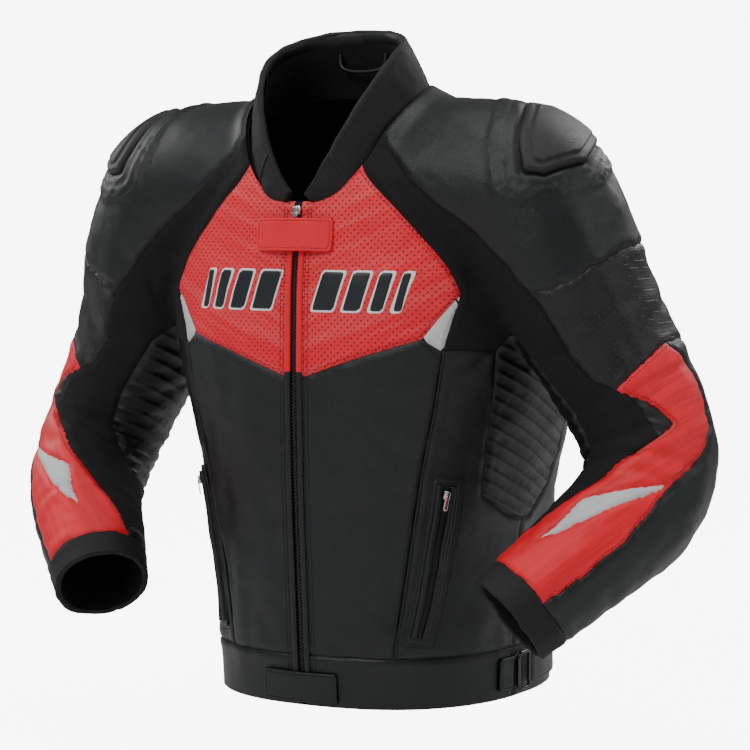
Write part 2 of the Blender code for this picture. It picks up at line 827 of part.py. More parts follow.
# Back protector inside the lining
BACK_PAD_OUTLINE = [
    (-0.070, 0.110), (0.070, 0.110), (0.105, 0.190), (0.115, 0.330), (0.085, 0.470),
    (-0.085, 0.470), (-0.115, 0.330), (-0.105, 0.190),
]
protector = grown(torso_form, -0.0098)
protector_inside = grown(torso_form, -0.0198)
protector = combined(protector, outline_cutter(BACK_PAD_OUTLINE, "Y", 0.02, 0.30), "INTERSECT")
protector = combined(protector, protector_inside, "DIFFERENCE")
finish_part(largest_body(protector), "back_protector", FOAM, 0.9)

# Front zip: tape with a raised row of teeth, swept up the front
ZIP_SECTION = [
    (-0.0070, 0.0018), (0.0070, 0.0018), (0.0070, 0.0008), (0.0026, 0.0008), (0.0026, -0.0010),
    (-0.0026, -0.0010), (-0.0026, 0.0008), (-0.0070, 0.0008),
]
zip_rows = []
for height in (0.003, 0.050, 0.110, 0.170, 0.225, 0.280, 0.335, 0.400, 0.450, 0.481):
    middle = front_y(0.0, height)
    zip_rows.append([(x, middle + y, height) for x, y in ZIP_SECTION])
finish_part(loft(zip_rows), "main_zip", (0.05, 0.05, 0.055), 0.4, 0.4)

# Zip slider and its puller
zip_fall = Vector((0.0, -0.105, -1.0)).normalized()
slider_place = frame_matrix(
    Vector((0.0, front_y(0.0, 0.4755), 0.4755)),
    -zip_fall,
    Vector((0.0, -1.0, 0.105)),
)
slider_body = slab(slider_place, (0.0090, 0.0084, 0.0026), (0.0, 0.0, 0.0026), 0.0006)
finish_part(slider_body, "main_zip_slider", STEEL, 0.25, 1.0)
puller_place = slider_place @ Matrix.Translation((0.0030, 0.0, 0.0050))
puller = slab(puller_place, (0.0085, 0.0040, 0.0012), (-0.0035, 0.0, 0.0), 0.0003)
puller = finish_part(puller, "main_zip_puller", STEEL, 0.25, 1.0)


def strip_over_front(columns, low, high, thick):
    """Plate across the front. Columns give x and how far its inner face stands off there."""
    sections = []
    for x, lift in columns:
        section = []
        for height, depth in ((low, lift), (high, lift), (high, lift + thick), (low, lift + thick)):
            point = Vector((x, front_y(x, height), height)) + front_normal(x, height) * depth
            section.append(tuple(point))
        sections.append(section)
    return loft(sections)


GARAGE_LIFTS = [
    (-0.044, 0.0007), (-0.034, 0.0034), (-0.020, 0.0062), (-0.008, 0.0074), (0.008, 0.0074),
    (0.020, 0.0062), (0.034, 0.0028), (0.040, 0.0007),
]
garage = strip_over_front(GARAGE_LIFTS, 0.4364, 0.4680, 0.0020)
finish_part(garage, "garage_tab", RED_LEATHER, 0.45)
HEM_LIFTS = [
    (-0.043, 0.0007), (-0.028, 0.0014), (-0.012, 0.0022), (0.012, 0.0022), (0.024, 0.0014), (0.038, 0.0007),
]
hem_tab = strip_over_front(HEM_LIFTS, 0.004, 0.034, 0.0026)
finish_part(hem_tab, "hem_tab", BLACK_LEATHER, 0.5)

# Pocket zips
pocket_top = Vector((0.137, front_y(0.137, 0.217), 0.217))
pocket_bottom = Vector((0.110, front_y(0.110, 0.070), 0.070))
pocket_middle = (pocket_top + pocket_bottom) / 2
pocket_out = front_normal(0.1235, 0.143)
pocket_place = frame_matrix(pocket_middle, pocket_top - pocket_bottom, pocket_out)
pocket_length = (pocket_top - pocket_bottom).length
pocket_zip = slab(pocket_place, (pocket_length + 0.012, 0.011, 0.0024), (0.0, 0.0, 0.0040), 0.0006)
finish_part(pocket_zip, "pocket_zip_left", (0.05, 0.05, 0.055), 0.45, 0.2)
mirrored(pocket_zip, "pocket_zip_right", (0.05, 0.05, 0.055), 0.45, 0.2)
pocket_slide_at = pocket_length / 2 - 0.008
pocket_slider = slab(pocket_place, (0.0090, 0.0080, 0.0024), (pocket_slide_at, 0.0, 0.0068), 0.0006)
finish_part(pocket_slider, "pocket_slider_left", STEEL, 0.25, 1.0)
mirrored(pocket_slider, "pocket_slider_right", STEEL, 0.25, 1.0)


# Waist adjusters: a strap that runs forward to a ring on each side of the hem
def waist_point(y, lift):
    """Point beside the hem at a depth y, standing off the waistband, and its outward direction."""
    half, front, back, power = torso_at(0.025)
    depth = (back - front) / 2
    share = abs((y - (back + front) / 2) / depth)
    x = half * (1 - share**power) ** (1 / power)
    step = 0.002
    share_next = abs((y + step - (back + front) / 2) / depth)
    x_next = half * (1 - share_next**power) ** (1 / power)
    outward = Vector((step, x - x_next, 0.0)).normalized()
    return Vector((x, y, 0.025)) + outward * lift, outward


strap_sections = []
for y in (0.030, 0.050, 0.070, 0.090, 0.110):
    near, outward = waist_point(y, 0.0012)
    far, outward = waist_point(y, 0.0036)
    strap_sections.append(
        [
            (near.x, near.y, 0.025 - STRAP_WIDTH / 2),
            (near.x, near.y, 0.025 + STRAP_WIDTH / 2),
            (far.x, far.y, 0.025 + STRAP_WIDTH / 2),
            (far.x, far.y, 0.025 - STRAP_WIDTH / 2),
        ]
    )
strap = loft(strap_sections)
finish_part(strap, "waist_strap_left", BLACK_LEATHER, 0.5)
mirrored(strap, "waist_strap_right", BLACK_LEATHER, 0.5)
ring_corners = []
for y, side in ((0.000, -1), (0.000, 1), (0.022, 1), (0.022, -1)):
    corner, outward = waist_point(y, 0.0034)
    corner.z = 0.025 + side * 0.018
    ring_corners.append(tuple(corner))
ring = tube(ring_corners, RING_WIRE, cyclic=True, sides=2)
finish_part(ring, "waist_ring_left", STEEL, 0.3, 1.0)
mirrored(ring, "waist_ring_right", STEEL, 0.3, 1.0)

# Hanging loop inside the back of the collar
LOOP_Y = -0.0290
loop_points = [
    (-0.026, LOOP_Y, 0.626), (-0.024, LOOP_Y - 0.001, 0.616), (-0.012, LOOP_Y - 0.002, 0.611),
    (0.012, LOOP_Y - 0.002, 0.611), (0.024, LOOP_Y - 0.001, 0.616), (0.026, LOOP_Y, 0.626),
]
finish_part(tube(loop_points, 0.0016, sides=1), "hanging_loop", BLACK_LEATHER, 0.6)

# The garment hangs by its loop, which is the origin. Moving pieces turn about their own origin.
ORIGIN = Vector((0.0, LOOP_Y - 0.002, 0.611))


def off_front(x, height, lift):
    return Vector((x, front_y(x, height), height)) + front_normal(x, height) * lift


strap_pivot, _ = waist_point(0.1095, 0.0036)
ring_pivot, _ = waist_point(0.000, 0.0034)
PIVOTS = {
    "main_zip_slider": slider_place.translation,
    "main_zip_puller": slider_place @ Vector((0.0035, 0.0, 0.0050)),
    "garage_tab": off_front(0.0395, 0.4522, 0.0027),
    "hem_tab": off_front(0.0375, 0.019, 0.0033),
    "pocket_slider": pocket_place @ Vector((pocket_slide_at, 0.0, 0.0068)),
    "waist_strap": strap_pivot,
    "waist_ring": ring_pivot,
    "upper_sleeve": SHOULDER_PIVOT,
    "shoulder_cup": SHOULDER_PIVOT,
    "sleeve_liner": SHOULDER_PIVOT,
    "elbow_gusset": SHOULDER_PIVOT,
    "forearm_red": ELBOW_PIVOT,
    "forearm_chevron": ELBOW_PIVOT,
    "forearm_outer": ELBOW_PIVOT,
    "cuff": ELBOW_PIVOT,
    "elbow_pad": ELBOW_PIVOT,
}
for piece in JACKET.objects:
    side = -1.0 if piece.name.endswith("_right") else 1.0
    kind = piece.name.removesuffix("_left").removesuffix("_right")
    pivot = Vector(PIVOTS.get(kind, ORIGIN))
    pivot.x *= side
    piece.data.transform(Matrix.Translation(-pivot))
    piece.location = pivot - ORIGIN
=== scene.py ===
"""Leather riding jacket in its worn shape, hung by its loop. Front faces -Y, wearer's left is +X. Metres."""

import math

import bmesh
import bpy
import numpy as np
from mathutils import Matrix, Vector
from mathutils.bvhtree import BVHTree


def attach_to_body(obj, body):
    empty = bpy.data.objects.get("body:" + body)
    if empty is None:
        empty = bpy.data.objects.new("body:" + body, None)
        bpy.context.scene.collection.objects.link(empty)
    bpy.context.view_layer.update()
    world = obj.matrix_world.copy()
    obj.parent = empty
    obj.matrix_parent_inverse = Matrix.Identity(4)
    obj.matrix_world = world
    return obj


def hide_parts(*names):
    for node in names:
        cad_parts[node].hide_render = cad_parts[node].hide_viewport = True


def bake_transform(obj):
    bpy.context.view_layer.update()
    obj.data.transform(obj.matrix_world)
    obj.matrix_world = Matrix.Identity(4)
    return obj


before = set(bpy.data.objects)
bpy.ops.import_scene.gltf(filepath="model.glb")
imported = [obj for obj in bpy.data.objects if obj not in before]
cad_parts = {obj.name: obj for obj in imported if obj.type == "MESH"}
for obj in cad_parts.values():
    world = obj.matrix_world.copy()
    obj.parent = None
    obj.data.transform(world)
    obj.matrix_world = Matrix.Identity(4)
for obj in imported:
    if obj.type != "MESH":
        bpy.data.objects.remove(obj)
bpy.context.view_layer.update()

bl_info = {
    "name": "Riding Jacket",
    "version": (1, 0, 0),
    "blender": (4, 5, 0),
    "location": "View3D > Sidebar > Jacket",
    "description": "Builds a leather riding jacket from panels, seams and fittings",
    "category": "Add Mesh",
}

# The hanging loop, which is the origin, measured from the middle of the hem plane
LOOP = np.array([0.0, -0.031, 0.611])

# Torso rows: height, half width, front y, back y, roundness power
TORSO_ROWS = [
    (0.000, 0.155, -0.143, 0.183, 2.4),
    (0.050, 0.155, -0.147, 0.181, 2.4),
    (0.110, 0.157, -0.151, 0.179, 2.4),
    (0.170, 0.162, -0.155, 0.178, 2.45),
    (0.225, 0.171, -0.158, 0.177, 2.5),
    (0.280, 0.184, -0.160, 0.174, 2.55),
    (0.335, 0.195, -0.160, 0.165, 2.6),
    (0.400, 0.200, -0.159, 0.148, 2.6),
    (0.450, 0.194, -0.1537, 0.124, 2.5),
    (0.500, 0.178, -0.1485, 0.092, 2.4),
    (0.530, 0.166, -0.140, 0.066, 2.3),
    (0.555, 0.150, -0.131, 0.044, 2.2),
    (0.572, 0.130, -0.120, 0.026, 2.1),
    (0.585, 0.108, -0.108, 0.010, 2.0),
    (0.597, 0.082, -0.094, -0.004, 2.0),
    (0.610, 0.050, -0.080, -0.020, 2.0),
]

# Sleeve stations of the left arm: centre x, y, z, radius across, radius in depth
SLEEVE_STATIONS = [
    (0.080, -0.050, 0.497, 0.084, 0.084),
    (0.120, -0.051, 0.499, 0.084, 0.084),
    (0.160, -0.052, 0.497, 0.083, 0.083),
    (0.196, -0.052, 0.482, 0.082, 0.082),
    (0.220, -0.050, 0.448, 0.077, 0.079),
    (0.240, -0.042, 0.400, 0.072, 0.075),
    (0.262, -0.030, 0.350, 0.067, 0.071),
    (0.290, -0.024, 0.297, 0.064, 0.067),
    (0.312, -0.030, 0.246, 0.062, 0.064),
    (0.311, -0.060, 0.204, 0.060, 0.061),
    (0.288, -0.097, 0.170, 0.056, 0.056),
    (0.257, -0.128, 0.135, 0.051, 0.051),
    (0.2255, -0.158, 0.100, 0.047, 0.047),
]

# Collar of the left half, from the zip round to the middle of the back
NECK_SEAM = [
    (0.0135, -0.1500, 0.484), (0.040, -0.146, 0.491), (0.066, -0.128, 0.515), (0.085, -0.098, 0.555),
    (0.090, -0.066, 0.583), (0.076, -0.034, 0.597), (0.042, -0.014, 0.603), (0.000, -0.008, 0.604),
]
COLLAR_RIM = [
    (0.0095, -0.1560, 0.491), (0.026, -0.153, 0.518), (0.046, -0.143, 0.556), (0.063, -0.122, 0.595),
    (0.070, -0.092, 0.624), (0.062, -0.056, 0.641), (0.035, -0.031, 0.650), (0.000, -0.024, 0.652),
]

# Places where one body's movement turns into the next one's
SHOULDER_BEND = (0.190, 0.236)
ELBOW = np.array([0.312, -0.038, 0.236])
ELBOW_ALONG = np.array([-0.057, -0.425, -0.903])
ELBOW_BEND = (-0.036, 0.050)
ELBOW_SPLIT = -0.038


# ---------------------------------------------------------------- curves and forms


def smooth_line(points, steps):
    """Points along a smooth curve through the given ones."""
    given = np.array(points, float)
    last = len(given) - 1
    out = []
    for i in range(last):
        a = given[max(i - 1, 0)]
        b = given[i]
        c = given[i + 1]
        d = given[min(i + 2, last)]
        for t in np.arange(steps) / steps:
            out.append(
                0.5 * (2 * b + (c - a) * t + (2 * a - 5 * b + 4 * c - d) * t**2
                       + (3 * b - a - 3 * c + d) * t**3)
            )
    out.append(given[-1])
    return np.array(out)


TORSO_TABLE = smooth_line(TORSO_ROWS, 8)


def torso_at(height):
    return [np.interp(height, TORSO_TABLE[:, 0], TORSO_TABLE[:, i]) for i in range(1, 5)]


def torso_ring(height, count):
    half, front, back, power = torso_at(height)
    angle = 2 * np.pi * (np.arange(count) + 0.5) / count
    side, away = np.cos(angle), np.sin(angle)
    x = half * np.sign(side) * np.abs(side) ** (2 / power)
    y = (front + back) / 2 + (back - front) / 2 * np.sign(away) * np.abs(away) ** (2 / power)
    return np.stack([x, y, np.full(count, height)], axis=1)


def front_y(x, height):
    half, front, back, power = torso_at(height)
    share = np.maximum(0.0, 1 - (np.abs(x) / half) ** power) ** (1 / power)
    return (front + back) / 2 - (back - front) / 2 * share


def sleeve_frames(steps):
    """Centre, outward, depth and along directions and both radii down the left arm."""
    stations = smooth_line(SLEEVE_STATIONS, steps)
    centres = stations[:, :3]
    along = np.gradient(centres, axis=0)
    for _ in range(steps):
        along[1:-1] = (along[:-2] + 2 * along[1:-1] + along[2:]) / 4
    along /= np.linalg.norm(along, axis=1)[:, None]
    outward = np.cross(along, (0.0, 1.0, 0.0))
    outward /= np.linalg.norm(outward, axis=1)[:, None]
    depth = np.cross(outward, along)
    return centres, outward, depth, along, stations[:, 3], stations[:, 4]


def sleeve_rings(steps, count):
    centres, outward, depth, _, across, deep = sleeve_frames(steps)
    angles = 2 * np.pi * np.arange(count) / count
    ring = (
        centres[:, None]
        + np.cos(angles)[None, :, None] * (across[:, None] * outward)[:, None]
        + np.sin(angles)[None, :, None] * (deep[:, None] * depth)[:, None]
    )
    return ring


def lofted(rings):
    """Closed mesh through rings of equal length, as points and triangles."""
    rings = np.array(rings)
    rows, count, _ = rings.shape
    points = rings.reshape(-1, 3)
    faces = []
    for row in range(rows - 1):
        for i in range(count):
            j = (i + 1) % count
            a, b = row * count + i, row * count + j
            c, d = a + count, b + count
            faces += [(a, b, d), (a, d, c)]
    start, end = len(points), len(points) + 1
    points = np.vstack([points, rings[0].mean(0), rings[-1].mean(0)])
    top = (rows - 1) * count
    for i in range(count):
        j = (i + 1) % count
        faces += [(start, j, i), (end, top + i, top + j)]
    return points, np.array(faces)


def raw_object(name, points, faces):
    mesh = bpy.data.meshes.new(name)
    mesh.from_pydata([tuple(p) for p in points], [], [tuple(int(i) for i in f) for f in faces])
    mesh.update()
    made = bpy.data.objects.new(name, mesh)
    bpy.context.scene.collection.objects.link(made)
    return made


def face_out(made):
    work = bmesh.new()
    work.from_mesh(made.data)
    bmesh.ops.recalc_face_normals(work, faces=work.faces)
    if work.calc_volume(signed=True) < 0:
        bmesh.ops.reverse_faces(work, faces=work.faces)
    work.to_mesh(made.data)
    work.free()
    return made


def applied(made):
    """The object's mesh after its modifiers, as points and triangles. The object goes."""
    bpy.context.view_layer.update()
    graph = bpy.context.evaluated_depsgraph_get()
    mesh = bpy.data.meshes.new_from_object(made.evaluated_get(graph))
    work = bmesh.new()
    work.from_mesh(mesh)
    bmesh.ops.triangulate(work, faces=work.faces)
    work.to_mesh(mesh)
    work.free()
    points = np.zeros(len(mesh.vertices) * 3)
    mesh.vertices.foreach_get("co", points)
    faces = np.zeros(len(mesh.polygons) * 3, np.int64)
    mesh.polygons.foreach_get("vertices", faces)
    bpy.data.objects.remove(made, do_unlink=True)
    bpy.data.meshes.remove(mesh)
    return points.reshape(-1, 3), faces.reshape(-1, 3)


def garment_form(cell):
    """Torso and both sleeves as one even, smooth skin."""
    heights = np.linspace(-0.012, 0.609, 90)
    body = face_out(raw_object("body", *lofted([torso_ring(h, 96) for h in heights])))
    rings = sleeve_rings(6, 64)
    overshoot = rings[-1] + (rings[-1].mean(0) - rings[-2].mean(0)) * 1.2
    left = lofted(np.vstack([rings, overshoot[None]]))
    for side in (1, -1):
        arm = face_out(raw_object("arm", left[0] * (side, 1, 1), left[1]))
        join = body.modifiers.new("join", "BOOLEAN")
        join.operation = "UNION"
        join.solver = "EXACT"
        join.object = arm
        bpy.context.view_layer.update()
        points, faces = applied(body)
        bpy.data.objects.remove(arm, do_unlink=True)
        body = raw_object("body", points, faces)
    even = body.modifiers.new("even", "REMESH")
    even.mode = "VOXEL"
    even.voxel_size = cell
    relax = body.modifiers.new("relax", "SMOOTH")
    relax.factor = 0.5
    relax.iterations = 6
    return applied(body)


# ---------------------------------------------------------------- skin: numbers at each point


def vertex_normals(points, faces):
    corner = points[faces]
    face = np.cross(corner[:, 1] - corner[:, 0], corner[:, 2] - corner[:, 0])
    normal = np.zeros_like(points)
    for i in range(3):
        np.add.at(normal, faces[:, i], face)
    return normal / np.maximum(np.linalg.norm(normal, axis=1), 1e-12)[:, None]


def signed_distance(outline, points):
    """Distance from flat points to a closed outline, above 0 inside it."""
    outline = np.array(outline, float)
    after = np.roll(outline, -1, axis=0)
    best = np.full(len(points), 1e9)
    inside = np.zeros(len(points), bool)
    for a, b in zip(outline, after):
        side = b - a
        share = np.clip(((points - a) @ side) / max(side @ side, 1e-12), 0, 1)
        best = np.minimum(best, np.linalg.norm(points - a - share[:, None] * side, axis=1))
        crosses = (a[1] > points[:, 1]) != (b[1] > points[:, 1])
        if b[1] != a[1]:
            reach = a[0] + (points[:, 1] - a[1]) * (b[0] - a[0]) / (b[1] - a[1])
            inside ^= crosses & (points[:, 0] < reach)
    return np.where(inside, best, -best)


def arm_coordinates(points):
    """For points on the left: share of the way down the arm in metres, and angle round it."""
    centres, outward, depth, along, across, deep = sleeve_frames(6)
    run = np.concatenate([[0], np.cumsum(np.linalg.norm(np.diff(centres, axis=0), axis=1))])
    best = np.full(len(points), 1e9)
    where = np.zeros(len(points), int)
    for i, centre in enumerate(centres):
        offset = points - centre
        lean = np.abs(offset @ along[i])
        far = np.linalg.norm(offset, axis=1)
        score = lean * 3 + far
        better = score < best
        best[better] = score[better]
        where[better] = i
    offset = points - centres[where]
    lean = np.einsum("ij,ij->i", offset, along[where])
    x = np.einsum("ij,ij->i", offset, outward[where])
    y = np.einsum("ij,ij->i", offset, depth[where])
    return run[where] + lean, np.arctan2(y, x), np.hypot(x, y)


class Skin:
    """Triangles with named numbers at each point, which can be cut along any of those numbers."""

    def __init__(self, points, faces, fields):
        self.points = points
        self.faces = faces
        self.fields = fields

    def copy(self):
        return Skin(self.points.copy(), self.faces.copy(), {k: v.copy() for k, v in self.fields.items()})

    def used(self):
        keep, index = np.unique(self.faces, return_inverse=True)
        self.points = self.points[keep]
        self.fields = {k: v[keep] for k, v in self.fields.items()}
        self.faces = index.reshape(-1, 3)
        return self

    def split(self, name, level=0.0):
        """Adds points wherever the number crosses the level, so that an edge line runs along it."""
        value = self.fields[name] - level
        value[np.abs(value) < 2e-5] = 0.0
        self.fields[name] = value + level
        side = np.sign(value)
        s = side[self.faces]
        crossing = (s.max(1) > 0) & (s.min(1) < 0)
        quiet = self.faces[~crossing]
        busy = self.faces[crossing]
        ends = np.sort(np.concatenate([busy[:, [0, 1]], busy[:, [1, 2]], busy[:, [2, 0]]]), axis=1)
        ends = ends[side[ends[:, 0]] * side[ends[:, 1]] < 0]
        if not len(ends):
            return self
        key = np.unique(ends[:, 0] * (len(self.points) + 1) + ends[:, 1])
        first, second = key // (len(self.points) + 1), key % (len(self.points) + 1)
        share = (value[first] / (value[first] - value[second]))
        number = {k: len(self.points) + i for i, k in enumerate(key.tolist())}
        base = len(self.points) + 1
        old = len(self.points)

        def mixed(a):
            w = share if a.ndim == 1 else share[:, None]
            return np.concatenate([a, a[first] * (1 - w) + a[second] * w])

        self.points = mixed(self.points)
        self.fields = {k: mixed(v) for k, v in self.fields.items()}
        self.fields[name][old:] = level

        def middle(a, b):
            a, b = (a, b) if a < b else (b, a)
            return number[a * base + b]

        made = []
        for face in busy.tolist():
            signs = [side[i] for i in face]
            if 0 in signs:
                k = signs.index(0)
                a, b, c = face[k], face[(k + 1) % 3], face[(k + 2) % 3]
                m = middle(b, c)
                made += [(a, b, m), (a, m, c)]
                continue
            k = [i for i in range(3) if signs.count(signs[i]) == 1][0]
            a, b, c = face[k], face[(k + 1) % 3], face[(k + 2) % 3]
            m, n = middle(a, b), middle(a, c)
            made += [(a, m, n), (m, b, c), (m, c, n)]
        self.faces = np.concatenate([quiet, np.array(made)])
        return self

    def part(self, name, above, level=0.0):
        """The triangles on one side of a level the skin was split at."""
        value = self.fields[name][self.faces].mean(1) - level
        made = self.copy()
        made.faces = self.faces[(value > 0) == above]
        return made.used()


def divide(skin, name, level=0.0):
    """Both sides of a line across the skin: (above, below)."""
    skin.split(name, level)
    return skin.part(name, True, level), skin.part(name, False, level)


def surface_distance(points, faces, value, floor=0.2):
    """A flat signed distance made true along the surface, by dividing by how fast it changes there."""
    corner = points[faces]
    one, two = corner[:, 1] - corner[:, 0], corner[:, 2] - corner[:, 0]
    cross = np.cross(one, two)
    size = np.maximum(np.einsum("ij,ij->i", cross, cross), 1e-18)
    v = value[faces]
    slope = (
        np.cross(two, cross) * (v[:, 1] - v[:, 0])[:, None]
        + np.cross(cross, one) * (v[:, 2] - v[:, 0])[:, None]
    ) / size[:, None]
    area = np.sqrt(size)
    total = np.zeros_like(points)
    weight = np.zeros(len(points))
    for i in range(3):
        np.add.at(total, faces[:, i], slope * area[:, None])
        np.add.at(weight, faces[:, i], area)
    steep = np.linalg.norm(total / np.maximum(weight, 1e-12)[:, None], axis=1)
    return value / np.clip(steep, floor, 8.0)


# ---------------------------------------------------------------- panel outlines

# Outlines in x and z on the front of the left half
CHEST = [
    (-0.010, 0.315), (0.000, 0.315), (0.065, 0.337), (0.127, 0.356), (0.158, 0.3985), (0.150, 0.418),
    (0.136, 0.438), (0.100, 0.477), (0.066, 0.512), (0.058, 0.540), (-0.010, 0.560),
]
WEDGE = [(0.127, 0.356), (0.1435, 0.344), (0.158, 0.3985)]
FRONT = [
    (-0.010, 0.000), (0.086, 0.000), (0.092, 0.060), (0.103, 0.130), (0.119, 0.222), (0.134, 0.290),
    (0.1435, 0.344), (0.127, 0.356), (0.065, 0.337), (0.000, 0.315), (-0.010, 0.315),
]
YOKE_LINE = [
    (0.062, 0.640), (0.070, 0.565), (0.084, 0.535), (0.108, 0.508), (0.136, 0.484), (0.172, 0.457),
    (0.205, 0.426), (0.235, 0.395), (0.250, 0.370), (0.261, 0.3425), (0.283, 0.319), (0.306, 0.311),
]
# Ribbed stretch at the side, in y and z
SIDE = [
    (-0.072, 0.205), (-0.030, 0.183), (0.010, 0.178), (0.050, 0.205), (0.066, 0.290), (0.064, 0.520),
    (-0.054, 0.520), (-0.058, 0.400), (-0.087, 0.343),
]
# Outlines down and round the left arm, in metres and degrees. 0 is the outer side, -90 the front
RED_ARM = [
    (0.322, -75), (0.308, -48), (0.296, -11), (0.310, 2), (0.340, 8), (0.372, 4), (0.396, -15),
    (0.429, -45), (0.456, -58), (0.508, -60), (0.545, -62), (0.580, -66), (0.580, -130), (0.580, -184),
    (0.545, -172), (0.510, -150), (0.479, -130), (0.455, -113), (0.432, -99), (0.403, -71), (0.374, -39),
    (0.350, -52), (0.334, -64),
]
CHEVRON = [
    (0.485, -121), (0.467, -99), (0.448, -75), (0.430, -47), (0.466, -82), (0.501, -103), (0.537, -127),
    (0.512, -123), (0.499, -122),
]
CUP_MIDDLE = np.array([0.222, -0.066, 0.534])
CUP_WAYS = np.array([(0.020, -0.751, -0.660), (0.711, 0.474, -0.518), (0.703, -0.460, 0.544)])
CUP = [
    (-0.050, -0.016), (-0.030, -0.038), (0.026, -0.032), (0.058, -0.014), (0.054, 0.004),
    (0.020, 0.032), (-0.034, 0.038), (-0.052, 0.022),
]
OUTER_ARM = [
    (0.296, -11), (0.310, 2), (0.340, 8), (0.372, 4), (0.396, -15), (0.429, -45), (0.456, -58), (0.508, -60),
    (0.545, -62), (0.580, -66), (0.580, -30), (0.580, 60), (0.540, 88), (0.440, 94), (0.360, 84), (0.320, 62),
    (0.300, 30),
]
CUFF_START = 0.574
BICEP = [(0.196, -140), (0.200, -94), (0.199, -60), (0.195, -16), (0.198, 30), (0.206, 90), (0.206, 140)]


def arm_outline(outline, run, angle, radius=0.066):
    """Signed distance to an outline drawn down and round the arm, on either side of the back."""
    flat = np.array([(s, math.radians(a) * radius) for s, a in smooth_closed(outline)])
    best = None
    for turn in (-2 * np.pi, 0.0):
        value = signed_distance(flat, np.stack([run, (angle + turn) * radius], axis=1))
        best = value if best is None else np.maximum(best, value)
    return best


def smooth_closed(outline, steps=5, corner=32.0):
    """The closed outline with gentle bends rounded and sharp corners kept."""
    points = [np.array(p, float) for p in outline]
    count = len(points)
    scale = np.array([1.0, math.radians(1) * 0.066]) if max(abs(p[1]) for p in points) > 5 else np.ones(2)
    sharp = []
    for i in range(count):
        a = (points[i] - points[i - 1]) * scale
        b = (points[(i + 1) % count] - points[i]) * scale
        turn = math.degrees(
            math.acos(np.clip(a @ b / (np.linalg.norm(a) * np.linalg.norm(b) + 1e-12), -1, 1))
        )
        sharp.append(turn > corner)
    out = []
    for i in range(count):
        b, c = points[i], points[(i + 1) % count]
        a = points[i - 1] if not sharp[i] else b
        d = points[(i + 2) % count] if not sharp[(i + 1) % count] else c
        for t in np.arange(steps) / steps:
            out.append(
                0.5 * (2 * b + (c - a) * t + (2 * a - 5 * b + 4 * c - d) * t**2
                       + (3 * b - a - 3 * c + d) * t**3)
            )
    return out


def front_outline(outline, points, reach=0.0):
    """Signed distance to an outline in x and z, on the front only."""
    value = signed_distance(smooth_closed(outline), points[:, [0, 2]])
    return np.minimum(value, reach - points[:, 1])


# ---------------------------------------------------------------- folds and seams

SEAM_DEEP = 0.0017
rng = np.random.default_rng(7)


def ripple(points, length, seed, octaves=9):
    """Smooth random height over space, about -1 to 1, with features of the given length."""
    local = np.random.default_rng(seed)
    total = np.zeros(len(points))
    bent = points + 0.35 * length * np.sin(points[:, [1, 2, 0]] * (2.1 / length) + 1.3)
    for _ in range(octaves):
        way = local.normal(size=3)
        way /= np.linalg.norm(way)
        total += np.sin(
            bent @ way * (2 * np.pi / (length * local.uniform(0.7, 1.6))) + local.uniform(0, 6.28)
        )
    return total / octaves**0.5 * 0.75


def bump_at(value, centre, width):
    return np.exp(-(((value - centre) / width) ** 2))


def crease(phase, sharp=0.55):
    """Folds of one sign: round ridges with narrow valleys between them."""
    wave = 0.5 + 0.5 * np.cos(phase)
    return wave**sharp - 0.62


def folds(points, normals, run, angle, on_arm, seed):
    """How far the leather stands in or out at each point, from wear and from the way the garment hangs."""
    x, y, z = points.T
    move = 0.0011 * ripple(points, 0.075, seed) + 0.0005 * ripple(points, 0.030, seed + 1)
    move += 0.00022 * ripple(points, 0.013, seed + 2)
    torso = 1 - on_arm
    # The body of the jacket: long soft drops, and a fullness above the waistband
    drop = ripple(points * (1, 1, 0.22), 0.046, seed + 3)
    move += torso * 0.0016 * drop * bump_at(z, 0.16, 0.15)
    move += torso * 0.0026 * bump_at(z, 0.066, 0.020) * (
        0.6 + 0.6 * ripple(points * (1, 1, 0.2), 0.030, seed + 4)
    )
    lean = z + 0.38 * np.abs(x) + 0.004 * ripple(points, 0.06, seed + 5)
    beside = bump_at(z, 0.235, 0.055) * bump_at(np.abs(x), 0.165, 0.05)
    move += torso * 0.0013 * crease(lean * 2 * np.pi / 0.034) * beside
    # Front of the armpit: folds that run out towards the arm
    pit = np.hypot(np.abs(x) - 0.196, z - 0.372)
    fan = np.arctan2(z - 0.372, np.abs(x) - 0.196)
    move += 0.0030 * crease(fan * 7.0 + 3.0 * ripple(points, 0.10, seed + 6)) * bump_at(pit, 0.050, 0.030)
    # Sleeve: rings of folds at the bend, deepest on its inner side, and softer ones above
    inner = 0.5 - 0.5 * np.cos(angle - math.radians(35))
    front = 0.5 + 0.5 * np.cos(angle + math.radians(115))
    wobble = 0.011 * ripple(points, 0.075, seed + 7) + 0.004 * np.sin(angle * 2 + seed)
    bend = crease((run + wobble + 0.018 * np.cos(angle)) * 2 * np.pi / 0.036)
    move += on_arm * 0.0050 * bend * bump_at(run, 0.405, 0.052) * (0.12 + 0.9 * np.maximum(inner, front))
    high = crease((run + 1.6 * wobble + 0.030 * np.sin(angle + 0.7)) * 2 * np.pi / 0.052)
    move += on_arm * 0.0023 * high * bump_at(run, 0.285, 0.075)
    low = crease((run + wobble - 0.022 * np.sin(angle)) * 2 * np.pi / 0.030)
    move += on_arm * 0.0016 * low * bump_at(run, 0.520, 0.038)
    long_drop = ripple(np.stack([run * 0.25, np.cos(angle) * 0.07, np.sin(angle) * 0.07], 1), 0.05, seed + 8)
    move += on_arm * 0.0014 * long_drop
    return move


def seam_profile(distance, deep):
    """Valley on the seam, soft shoulder beside it and a shallow line where the stitching pulls down."""
    d = np.abs(distance)
    return (
        -deep * np.exp(-((d / 0.0016) ** 2))
        + 0.00055 * np.exp(-(((d - 0.0068) / 0.0032) ** 2))
        - 0.00030 * np.exp(-(((d - 0.0032) / 0.0007) ** 2))
    )


